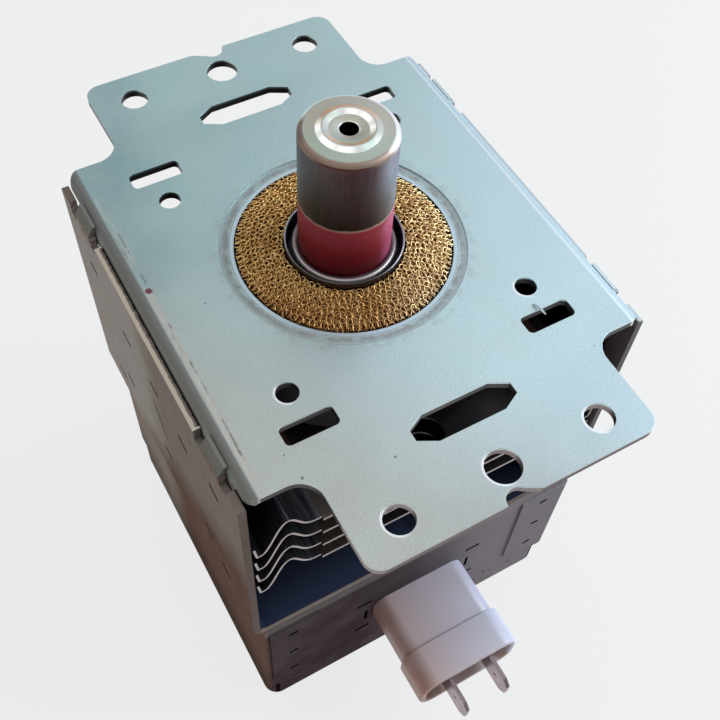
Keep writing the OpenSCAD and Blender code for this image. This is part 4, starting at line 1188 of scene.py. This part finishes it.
def dress(node: str, finish: Finish) -> None:
    """Give a CAD node that stays its finish."""
    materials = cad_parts[node].data.materials
    materials.clear()
    materials.append(finish.material())
    log.info("%s: CAD node in %s", node, finish.name)


class GeometryTree(Graph):
    """A Geometry Nodes tree with named sizes."""

    def __init__(self, name: str, sizes: dict[str, float]) -> None:
        """Make the tree and its inputs.

        Args:
            name: the tree's name.
            sizes: each named input with the value it is run with.
        """
        super().__init__(bpy.data.node_groups.new(name, "GeometryNodeTree"))
        face = self.tree.interface
        face.new_socket("Geometry", in_out="OUTPUT", socket_type="NodeSocketGeometry")
        face.new_socket("Geometry", in_out="INPUT", socket_type="NodeSocketGeometry")
        self.values = {face.new_socket(key, in_out="INPUT", socket_type="NodeSocketFloat").identifier: value
                       for key, value in sizes.items()}
        self.inlet = self.node("NodeGroupInput")

    def size(self, name: str) -> Sock:
        """One of the named inputs."""
        return self.inlet.other(name)

    def join(self, *parts: Sock) -> Sock:
        """Several geometries in one."""
        joined = self.node("GeometryNodeJoinGeometry")
        for part in parts:
            self.tree.links.new(part.socket, joined.socket.node.inputs[0])
        return joined

    def vector(self, x: Any = 0.0, y: Any = 0.0, z: Any = 0.0) -> Sock:
        """Vector from three values."""
        return self.node("ShaderNodeCombineXYZ", None, {0: x, 1: y, 2: z})

    def run(self, geometry: Sock, piece: bpy.types.Object, finish: Finish) -> bpy.types.Object:
        """Close the tree and turn the piece into its result.

        Args:
            geometry: what the tree makes.
            piece: object that goes in.
            finish: finish of the result.

        Returns:
            The piece as a plain mesh.
        """
        solid = self.node("GeometryNodeRealizeInstances", None, {0: geometry})
        done = self.node("GeometryNodeSetMaterial", None, {0: solid, "Material": finish.material()})
        end = self.tree.nodes.new("NodeGroupOutput")
        self.tree.links.new(done.socket, end.inputs[0])
        modifier = piece.modifiers.new(self.tree.name, "NODES")
        modifier.node_group = self.tree
        for identifier, value in self.values.items():
            modifier[identifier] = value
        return flattened(piece)


@dataclass
class MountingPlate:
    """The tabbed plate that the tube is bolted by."""

    ease: float = 0.3
    sliver: tuple[tuple[float, float, float, float], ...] = (
        (20.65, -25.3, 0.1, 0.1), (20.8, -25.9, 0.3, 0.24), (21.05, -27.1, 0.42, 0.26),
        (21.25, -28.0, 0.2, 0.14))

    def add_sliver(self, piece: bpy.types.Object) -> None:
        """Lay a thin sliver of metal over the rim of one slot, within the plate's mesh."""
        sheet = bmesh.new()
        sheet.from_mesh(piece.data)
        rows = []
        for x, y, z, half in self.sliver:
            corners = ((x - half, y, z), (x, y, z - half), (x + half, y, z), (x, y, z + half))
            rows.append([sheet.verts.new(Vector(corner) * MM) for corner in corners])
        faces = [sheet.faces.new(rows[0]), sheet.faces.new(rows[-1])]
        for first, second in zip(rows, rows[1:]):
            for k in range(4):
                faces.append(sheet.faces.new((first[k], first[k - 1], second[k - 1], second[k])))
        bmesh.ops.recalc_face_normals(sheet, faces=faces)
        sheet.to_mesh(piece.data)
        sheet.free()

    def build(self) -> None:
        """Ease the plate's edges, add the sliver and hand the plate over."""
        piece = softened("mounting_plate", "plate_sheet", Finishes.PLATE, self.ease, 3)
        self.add_sliver(piece)
        settle(piece, Finishes.PLATE, "mounting_plate")


@dataclass
class YokeFrame:
    """The folded yoke round the fins."""

    ease: float = 0.16

    def build(self) -> None:
        """Ease the yoke's edges and hand it over."""
        piece = softened("yoke", "yoke_sheet", Finishes.YOKE, self.ease)
        settle(piece, Finishes.YOKE, "yoke")


@dataclass
class FinStack:
    """Four wave-edged fins on the anode, made by one rule."""

    count: int = 4
    pitch: float = 5.0
    sheet: float = 0.6
    wave_sheet: float = 0.42
    top_z: float = -20.1
    length: float = 69.0
    flat_w: float = 44.4
    bore_r: float = 20.05
    collar_h: float = 2.2
    jig_r: float = 3.6
    jig_y: float = 29.0
    slit: float = 9.0
    outer_x: float = 34.7
    seat: float = 0.3
    lift: float = 1.4
    crest: float = 5.8
    trough: float = 2.0
    lip: float = 3.3
    crest_at: float = 0.4836
    trough_at: float = 0.89
    lip_at: float = 0.965
    rise_power: float = 1.8
    columns: int = 64

    def flat_part(self) -> Shell:
        """The flat middle of the top fin, its collar and the ramps to its waves."""
        shell = Shell()
        half, end, t = self.flat_w / 2, self.length / 2, self.sheet / 2
        holes = [circle_loop(0, 0, self.bore_r, 96)]
        holes += [circle_loop(0, y * self.jig_y, self.jig_r) for y in (-1, 1)]
        ease = 0.08
        layers = [(ease, -t), (0, ease - t), (0, t - ease), (ease, t)]
        shell.rolled_sheet([(-half, -end), (half, -end), (half, end), (-half, end)], holes, layers,
                           lambda u, v, h: (u, v, self.top_z + h))
        low, high = self.top_z + t, self.top_z + t + self.collar_h
        rim = self.bore_r + self.sheet
        shell.lathe([(self.bore_r, low), (self.bore_r, high), (rim - ease, high), (rim, high - ease),
                     (rim, low)], 96)
        start, reach = half + self.seat + self.sheet, end - self.slit
        under, over = self.lift - t, self.lift + t
        ramp = [(half - 2 * self.sheet, -t), (half + self.sheet, under), (start, under), (start, over),
                (half - self.sheet, over), (half - 3 * self.sheet, t)]
        for side in (-1, 1):
            ends = [shell.ring((side * x, y * reach, self.top_z + z) for x, z in ramp) for y in (-1, 1)]
            shell.strip(*ends)
            for row in ends:
                shell.fill([row])
        return shell

    def wave(self, tree: GeometryTree, share: Sock) -> Sock:
        """Height of the wave above the flat at a share of its span."""
        rising = (share / self.crest_at).math("MINIMUM", share / self.crest_at, 1.0) ** self.rise_power
        up = tree.size("Lift") + (tree.size("Crest") - tree.size("Lift")) * (
            1.0 - (rising * math.pi).math("COSINE", rising * math.pi)) * 0.5
        falling = (share - self.crest_at) / (self.trough_at - self.crest_at)
        falling = falling.math("MINIMUM", falling.math("MAXIMUM", falling, 0.0), 1.0) * math.pi
        down = (tree.size("Crest") + tree.size("Trough")) * (1.0 + falling.math("COSINE", falling)) * 0.5
        down = down - tree.size("Trough")
        before = share.math("LESS_THAN", share, self.crest_at)
        hook = (share - self.lip_at) / (1.0 - self.lip_at)
        hook = hook.math("MAXIMUM", hook, 0.0) * tree.size("Lip")
        return before * up + (1.0 - before) * down + hook

    def build(self) -> None:
        """Add the waves to the flat part, stack the fins and hand them over."""
        start = self.flat_w / 2 + self.seat
        tree = GeometryTree("fin_stack", {
            "Pitch": self.pitch * MM, "Sheet": self.wave_sheet * MM, "Length": self.length * MM, "Start": start * MM,
            "Span": (self.outer_x - start) * MM, "Lift": self.lift * MM, "Crest": self.crest * MM,
            "Trough": self.trough * MM, "Lip": self.lip * MM, "Level": self.top_z * MM})
        grid = tree.node("GeometryNodeMeshGrid", None, {
            "Size X": 1.0, "Size Y": tree.size("Length"), "Vertices X": self.columns, "Vertices Y": 12})
        place = tree.node("ShaderNodeSeparateXYZ", None, {0: tree.node("GeometryNodeInputPosition")})
        share = place + 0.5
        height = tree.size("Level") + self.wave(tree, share) - tree.size("Sheet") * 0.5
        spot = tree.vector(tree.size("Start") + share * tree.size("Span"), place.other("Y"), height)
        bent = tree.node("GeometryNodeSetPosition", None, {0: grid, "Position": spot})
        raised = tree.node("GeometryNodeExtrudeMesh", None, {
            0: bent, "Offset Scale": tree.size("Sheet"), "Individual": False})
        closed = tree.join(raised, tree.node("GeometryNodeFlipFaces", None, {0: bent}))
        closed = tree.node("GeometryNodeMergeByDistance", None, {0: closed, "Distance": 1e-6})
        mirrored = tree.node("GeometryNodeTransform", None, {0: closed, "Scale": (-1.0, 1.0, 1.0)})
        mirrored = tree.node("GeometryNodeFlipFaces", None, {0: mirrored})
        one = tree.join(tree.inlet, closed, mirrored)
        levels = tree.node("GeometryNodeMeshLine", None, {
            "Count": self.count, "Offset": tree.vector(z=tree.size("Pitch") * -1.0)})
        stack = tree.node("GeometryNodeInstanceOnPoints", None, {"Points": levels, "Instance": one})
        piece = tree.run(stack, self.flat_part().to_object("fin_stack", Finishes.FIN), Finishes.FIN)
        piece.data.shade_smooth()
        piece.data.set_sharp_from_angle(angle=math.radians(40.0))
        settle(piece, Finishes.FIN, *(f"fin_{k + 1}" for k in range(self.count)))


@dataclass
class MeshGasket:
    """The knitted brass ring, as rows of wire loops over a bed that its finish paints dark as shade."""

    inner_r: float = 10.2
    outer_r: float = 18.1
    bed_z: float = -1.5
    bed_top: float = -0.75
    edge_z: float = 0.0
    crown: float = 0.42
    rows: int = 10
    loop_r: float = 0.54
    wire_r: float = 0.12
    loop_pitch: float = 1.0
    sweep: float = 285.0
    seed: int = 7

    def bed(self) -> Shell:
        """The packed ring under the loops, painted dark as shade by its finish."""
        shell = Shell()
        inner, outer, top = self.inner_r, self.outer_r - 0.4, self.bed_top
        shell.lathe([(inner, self.bed_z), (outer, self.bed_z), (outer, top - 0.4), (outer - 0.4, top),
                     (inner + 0.4, top), (inner, top - 0.4)])
        return shell

    def row(self, tree: GeometryTree, stitch: Sock, number: int, layer: int) -> Sock:
        """One ring of loops.

        Args:
            tree: the gasket's tree.
            stitch: the loop that is repeated.
            number: which row, from the inside out.
            layer: 0 for the crown, 1 for the loops below it.

        Returns:
            The row's instances.
        """
        share = (number + 0.5) / self.rows
        span = self.outer_r - self.inner_r - 0.5
        r = self.inner_r + 0.25 + span * share
        count = round(math.tau * r / self.loop_pitch)
        height = self.edge_z + (self.crown - self.edge_z) * math.sin(math.pi * share) ** 0.6 - 0.42 * layer
        points = tree.node("GeometryNodeCurvePrimitiveCircle", None, {
            "Resolution": count, "Radius": (tree.size("Inner radius") - self.inner_r * MM) + r * MM})
        seed = self.seed + 10 * number + 100 * layer
        wander = tree.node("FunctionNodeRandomValue", {"data_type": "FLOAT_VECTOR"}, {
            0: (-1.5e-4, -1.5e-4, -1.2e-4), 1: (1.5e-4, 1.5e-4, 1.2e-4), "Seed": seed})
        lift = tree.node("ShaderNodeVectorMath", {"operation": "ADD"}, {
            0: wander, 1: (0.0, 0.0, height * MM)})
        spots = tree.node("GeometryNodeSetPosition", None, {0: points, "Offset": lift})
        angle = (tree.node("GeometryNodeInputIndex") + 0.5 * (number % 2 + layer)) * (math.tau / count)
        spots = tree.node("GeometryNodeTransform", None, {
            0: spots, "Rotation": (0.0, 0.0, math.pi / count * (number % 2 + layer))})
        jitter = tree.node("FunctionNodeRandomValue", {"data_type": "FLOAT_VECTOR"}, {
            0: (-0.30, -0.30, -0.45), 1: (0.30, 0.30, 0.45), "Seed": seed + 1})
        turn = tree.node("ShaderNodeVectorMath", {"operation": "ADD"}, {
            0: jitter, 1: tree.vector(0.0, 0.42, angle)})
        size = tree.node("FunctionNodeRandomValue", {"data_type": "FLOAT"}, {
            2: 0.85, 3: 1.15, "Seed": seed + 2}, 1)
        return tree.node("GeometryNodeInstanceOnPoints", None, {
            "Points": spots, "Instance": stitch, "Rotation": turn, "Scale": size})

    def build(self) -> None:
        """Knit the rows over the bed and hand the gasket over."""
        tree = GeometryTree("mesh_gasket", {
            "Inner radius": self.inner_r * MM, "Wire radius": self.wire_r * MM, "Loop radius": self.loop_r * MM})
        arc = tree.node("GeometryNodeCurveArc", None, {
            "Resolution": 10, "Radius": tree.size("Loop radius"),
            "Start Angle": math.radians(180 - self.sweep / 2),
            "Sweep Angle": math.radians(self.sweep)})
        arc = tree.node("GeometryNodeTransform", None, {0: arc, "Scale": (1.15, 0.92, 1.0)})
        section = tree.node("GeometryNodeCurvePrimitiveCircle", None, {
            "Resolution": 5, "Radius": tree.size("Wire radius")})
        stitch = tree.node("GeometryNodeCurveToMesh", None, {0: arc, 1: section})
        rows = [self.row(tree, stitch, number, layer) for layer in (0, 1) for number in range(self.rows)]
        piece = tree.run(tree.join(tree.inlet, *rows), self.bed().to_object("knitted_gasket", Finishes.KNIT),
                         Finishes.KNIT)
        piece.data.shade_smooth()
        settle(piece, Finishes.KNIT, "rf_gasket")


@dataclass
class AntennaStack:
    """The cup, the seal's rolled rim, the ceramic and the cap, all turned."""

    cap_r: float = 7.7
    cap_t: float = 0.5
    foot_z: float = 11.2
    top_z: float = 25.25
    round_r: float = 1.0
    bead_r: float = 4.03
    bead_half: float = 1.03
    bead_h: float = 0.45
    hole_r: float = 1.48
    ceramic_r: float = 7.7
    ceramic_neck_r: float = 7.35
    ceramic_in_r: float = 5.3
    shoulder_z: float = 1.0
    seat_z: float = -3.0
    cup_r: float = 10.0
    cup_t: float = 0.35
    cup_rim_z: float = 1.55
    cup_floor_z: float = -2.6
    neck_r: float = 9.2

    def cap(self) -> Shell:
        """The drawn cap with its pressed bead and hole."""
        shell = Shell()
        profile = [(self.cap_r - 0.1, self.foot_z), (self.cap_r, self.foot_z + 0.12)]
        steps = 12
        for k in range(steps + 1):
            turn = math.pi / 2 * k / steps
            profile.append((self.cap_r - self.round_r * (1 - math.cos(turn)),
                            self.top_z - self.round_r * (1 - math.sin(turn))))
        for share, height in ((1.0, 0.0), (0.95, 0.02), (0.88, 0.1), (0.2, 0.9), (0.1, 0.98), (0.03, 1.0)):
            profile.append((self.bead_r + self.bead_half * share, self.top_z + self.bead_h * height))
        for share, height in ((0.03, 1.0), (0.1, 0.98), (0.2, 0.9), (0.88, 0.1), (0.95, 0.02), (1.0, 0.0)):
            profile.append((self.bead_r - self.bead_half * share, self.top_z + self.bead_h * height))
        profile += [(self.hole_r + 0.08, self.top_z), (self.hole_r, self.top_z - 0.06),
                    (self.hole_r, self.top_z - self.cap_t)]
        for k in range(steps + 1):
            turn = math.pi / 2 * (1 - k / steps)
            inner = self.round_r - self.cap_t
            profile.append((self.cap_r - self.round_r + inner * math.cos(turn),
                            self.top_z - self.round_r + inner * math.sin(turn)))
        profile.append((self.cap_r - self.cap_t, self.foot_z))
        shell.lathe(profile)
        return shell

    def ceramic(self) -> Shell:
        """The ceramic tube, with its edges eased."""
        shell = Shell()
        ease = 0.15
        shell.lathe([(self.ceramic_in_r, self.seat_z), (self.ceramic_neck_r - ease, self.seat_z),
                     (self.ceramic_neck_r, self.seat_z + ease), (self.ceramic_neck_r, self.shoulder_z),
                     (self.ceramic_r - ease, self.shoulder_z), (self.ceramic_r, self.shoulder_z + ease),
                     (self.ceramic_r, self.foot_z - ease / 2), (self.ceramic_r - ease / 2, self.foot_z),
                     (self.ceramic_in_r, self.foot_z)])
        return shell

    def cup(self) -> Shell:
        """The thin cup that centres the gasket, with a rolled rim."""
        shell = Shell()
        outer, inner = self.cup_r, self.cup_r - self.cup_t
        rim = [(inner + self.cup_t * 0.5 + self.cup_t * 0.5 * math.cos(math.pi * k / 6),
                self.cup_rim_z - self.cup_t * 0.5 + self.cup_t * 0.5 * math.sin(math.pi * k / 6)) for k in range(7)]
        low = self.cup_floor_z - self.cup_t
        shell.lathe([(self.neck_r + 0.05, low), (outer - 0.3, low), (outer, low + 0.3)] + rim +
                    [(inner, self.cup_floor_z + 0.3), (inner - 0.3, self.cup_floor_z),
                     (self.neck_r + 0.05, self.cup_floor_z)])
        return shell

    def build(self) -> None:
        """Turn three pieces, hand them over and dress the seal."""
        for name, shell, finish, node in (
                ("antenna_cap_shell", self.cap(), Finishes.CAP, "antenna_cap"),
                ("antenna_tube", self.ceramic(), Finishes.CERAMIC, "antenna_ceramic"),
                ("gasket_cup_shell", self.cup(), Finishes.CUP, "gasket_cup")):
            settle(shell.to_object(name, finish, 50.0), finish, node)
        dress("output_seal", Finishes.ROLL)


@dataclass
class FilterBox:
    """The sheet box under the yoke, with its lid and rivets."""

    ease: float = 0.14

    def build(self) -> None:
        """Ease the box and the lid and hand them over."""
        for node, name in (("filter_box", "filter_box_sheet"), ("filter_lid", "filter_lid_sheet")):
            settle(softened(node, name, Finishes.BOX, self.ease), Finishes.BOX, node)
        dress("box_rivets", Finishes.RIVET)


@dataclass
class FeedThrough:
    """The moulded capacitor body and its two blades."""

    body_w: float = 21.0
    body_h: float = 9.6
    axis_z: float = -73.7
    front_y: float = -35.9
    inside: float = 11.0
    body_l: float = 12.4
    collar_l: float = 8.0
    step: float = 0.8
    recess_l: float = 4.2
    recess_wall: float = 1.3
    corner_r: float = 3.2
    corner_steps: int = 12
    blade_ease: float = 0.12

    def outline(self, grow: float) -> Loop:
        """Rounded section of the body, grown all round."""
        w, h, r = self.body_w / 2 + grow, self.body_h / 2 + grow, self.corner_r + grow
        return rounded_loop([(-w, -h, r), (w, -h, r), (w, h, r), (-w, h, r)], self.corner_steps)

    def body(self) -> Shell:
        """The moulded body, lofted along its axis and closed by its recess."""
        shell = Shell()
        neck = self.front_y - self.body_l
        end = neck - self.collar_l
        wall = self.step - self.recess_wall
        section = [(-0.4, self.front_y + self.inside), (0.0, self.front_y + self.inside - 0.4),
                   (0.02, neck + 0.25), (-0.06, neck + 0.1), (0.0, neck), (self.step - 0.25, neck - 0.02),
                   (self.step - 0.07, neck - 0.09), (self.step, neck - 0.3), (self.step - 0.03, end + 0.7),
                   (self.step - 0.14, end + 0.25), (self.step - 0.4, end + 0.04), (self.step - 0.65, end),
                   (wall + 0.3, end + 0.02), (wall + 0.06, end + 0.16), (wall, end + 0.4),
                   (wall - 0.05, end + self.recess_l - 0.3), (wall - 0.3, end + self.recess_l)]
        rings = [shell.ring((u, y, self.axis_z + v) for u, v in self.outline(grow)) for grow, y in section]
        for first, second in zip(rings, rings[1:]):
            shell.strip(first, second)
        shell.fill([rings[0]])
        shell.fill([rings[-1]])
        return shell

    def build(self) -> None:
        """Mould the body, cut the blades and hand them over."""
        moulding = self.body().to_object("capacitor_moulding", Finishes.RESIN, 50.0)
        settle(moulding, Finishes.RESIN, "capacitor_body")
        for node in ("left_terminal", "right_terminal"):
            settle(softened(node, f"{node}_blade", Finishes.BLADE, self.blade_ease), Finishes.BLADE, node)
        dress("capacitor_flange", Finishes.BOX)


@dataclass
class TubeInside:
    """The CAD nodes within the tube and the box, which stay as they are."""

    finishes: dict[str, Finish] = field(default_factory=lambda: {
        **{f"vane_{k}": Finishes.COPPER for k in range(1, 11)},
        **{f"{end}_{ring}_strap": Finishes.COPPER for end in ("upper", "lower") for ring in ("inner", "outer")},
        **{name: Finishes.COPPER for name in ("anode_shell", "antenna_lead", "exhaust_tube")},
        **{name: Finishes.FERRITE for name in ("upper_magnet", "lower_magnet", "left_choke_core", "right_choke_core")},
        **{name: Finishes.TUNGSTEN for name in ("filament", "upper_end_hat", "lower_end_hat", "center_lead", "side_lead")},
        **{name: Finishes.ENAMEL for name in ("left_choke_coil", "right_choke_coil")},
        "upper_pole": Finishes.POLE, "lower_pole": Finishes.POLE, "stem_seal": Finishes.SEAL,
        "stem_ceramic": Finishes.STEM})

    def build(self) -> None:
        """Give each node its finish."""
        for node, finish in self.finishes.items():
            dress(node, finish)


@dataclass
class Stage:
    """The floor, the light and the camera."""

    floor_z: float = -95.0
    floor_w: float = 6000.0
    backdrop: float = 0.875
    glows: tuple[tuple[tuple[float, float, float], float, Color], ...] = (
        ((-0.142, 0.915, 0.379), 19.0, (0.75, 0.75, 0.73)),
        ((-0.412, 0.453, 0.790), 21.0, (0.75, 0.75, 0.73)),
        ((-0.141, -0.105, 0.983), 19.0, (0.6, 0.6, 0.58)), ((0.538, -0.150, 0.829), 15.0, (0.2, 0.4, 0.33)))
    camera_at: tuple[float, float, float] = (-56.1346, -94.0597, 127.6116)
    camera_right: tuple[float, float, float] = (0.868121, -0.494091, 0.047334)
    camera_down: tuple[float, float, float] = (-0.389372, -0.737049, -0.552403)
    camera_ahead: tuple[float, float, float] = (0.307824, 0.461122, -0.832232)
    lens: float = 50.212
    shift: tuple[float, float] = (-0.00972, 0.00966)

    def camera(self) -> None:
        """Set the camera at the photograph's viewpoint."""
        data = bpy.data.cameras.new("view")
        data.lens = self.lens
        data.sensor_width = 36.0
        data.shift_x, data.shift_y = self.shift
        data.clip_start = 0.005
        camera = bpy.data.objects.new("view", data)
        bpy.context.scene.collection.objects.link(camera)
        right, down, ahead = Vector(self.camera_right), Vector(self.camera_down), Vector(self.camera_ahead)
        for column, axis in enumerate((right, -down, -ahead, Vector(self.camera_at) * MM)):
            for row in range(3):
                camera.matrix_world[row][column] = axis[row]
        bpy.context.scene.camera = camera

    def floor(self) -> None:
        """Lay a pale floor that keeps a soft shadow."""
        half = self.floor_w / 2 * MM
        mesh = bpy.data.meshes.new("floor")
        z = self.floor_z * MM
        mesh.from_pydata([(-half, -half, z), (half, -half, z), (half, half, z), (-half, half, z)],
                         [], [(0, 1, 2, 3)])
        floor = bpy.data.objects.new("floor", mesh)
        bpy.context.scene.collection.objects.link(floor)
        shader = Shader("floor_paint")
        path = shader.node("ShaderNodeLightPath")
        seen = path.math("MAXIMUM", path.other("Is Camera Ray"), path.other("Is Glossy Ray"))
        seen = path.math("MAXIMUM", seen, path.other("Is Transmission Ray"))
        paint = shader.node("ShaderNodeBsdfDiffuse", None, {"Color": (0.80, 0.80, 0.80, 1.0)})
        level = shader.node("ShaderNodeEmission", None, {"Color": (self.backdrop,) * 3 + (1.0,)})
        shader.node_output(shader.node("ShaderNodeMixShader", None, {0: seen * 0.88, 1: paint, 2: level}))
        mesh.materials.append(shader.material)

    def world(self) -> None:
        """Light from all round: cool above and to the right, dim and warm in front, with soft glows above."""
        world = bpy.data.worlds.new("room")
        bpy.context.scene.world = world
        world.use_nodes = True
        world.node_tree.nodes.clear()
        graph = Graph(world.node_tree)
        way = graph.node("ShaderNodeTexCoord", output="Generated")
        x = graph.node("ShaderNodeSeparateXYZ", None, {0: way})
        y, z = x.other("Y"), x.other("Z")

        def share(value: Sock, low: float, high: float) -> Sock:
            """Smooth share from 0 at low to 1 at high."""
            return graph.node("ShaderNodeMapRange", {"interpolation_type": "SMOOTHSTEP"}, {
                "Value": value, "From Min": low, "From Max": high})

        def blend(mask: Sock, first: Sock, second: Color, how: str = "MIX") -> Sock:
            """Second colour laid over the first."""
            return graph.node("ShaderNodeMix", {"data_type": "RGBA", "blend_type": how}, {
                0: mask, 6: first, 7: (*second, 1.0)}, 2)

        light = graph.node("ShaderNodeValToRGB", {"stops": [
            (0.0, (0.26, 0.235, 0.22)), (0.5, (0.29, 0.28, 0.275)), (0.75, (0.39, 0.415, 0.42)),
            (1.0, (0.66, 0.675, 0.68))]}, {0: z * 0.5 + 0.5})
        light = blend(share(x, 0.2, 0.95), light, (0.46, 0.55, 0.72), "ADD")
        light = blend(share(x, -0.2, -0.9) * share(z, 0.7, 0.1) * 0.75, light, (0.21, 0.135, 0.105))
        light = blend(share(y, 0.1, -0.9) * 0.85, light, (0.15, 0.115, 0.10))
        light = blend(share(y, 0.5, 0.95) * share(abs(z), 0.45, 0.1) * 0.7, light, (0.52, 0.36, 0.30))
        for at, width, color in self.glows:
            turn = graph.node("ShaderNodeVectorMath", {"operation": "DOT_PRODUCT"}, {
                0: way, 1: tuple(Vector(at).normalized())}, "Value")
            edge = math.radians(width)
            light = blend(share(turn, math.cos(edge), math.cos(edge * 0.5)), light, color, "ADD")
        glow = graph.node("ShaderNodeBackground", None, {"Color": light, "Strength": 1.0})
        end = world.node_tree.nodes.new("ShaderNodeOutputWorld")
        world.node_tree.links.new(glow.socket, end.inputs["Surface"])

    def lamps(self) -> None:
        """A broad cool window to the right and a weak warm fill to the left."""
        for name, at, size, watts, tint in (
                ("window", (540.0, -200.0, 300.0), 380.0, 4.0, (0.82, 0.91, 1.0)),
                ("fill", (-380.0, -300.0, 300.0), 400.0, 0.3, (1.0, 0.92, 0.85))):
            data = bpy.data.lights.new(name, "AREA")
            data.size = size * MM
            data.energy = watts
            data.color = tint
            lamp = bpy.data.objects.new(name, data)
            bpy.context.scene.collection.objects.link(lamp)
            lamp.location = Vector(at) * MM
            aim = Vector((0.0, 0.0, -0.03)) - lamp.location
            lamp.rotation_euler = aim.to_track_quat("-Z", "Y").to_euler()

    def build(self) -> None:
        """Set up everything round the object."""
        bpy.context.scene.view_settings.view_transform = "Standard"
        self.camera()
        self.floor()
        self.world()
        self.lamps()


def main() -> None:
    """Build the stage and every sub-assembly in order."""
    logging.basicConfig(level=logging.INFO, format="%(name)s %(message)s")
    for part in (Stage(), MountingPlate(), YokeFrame(), FinStack(), MeshGasket(), AntennaStack(),
                 FilterBox(), FeedThrough(), TubeInside()):
        part.build()


if __name__ == "__main__":
    main()
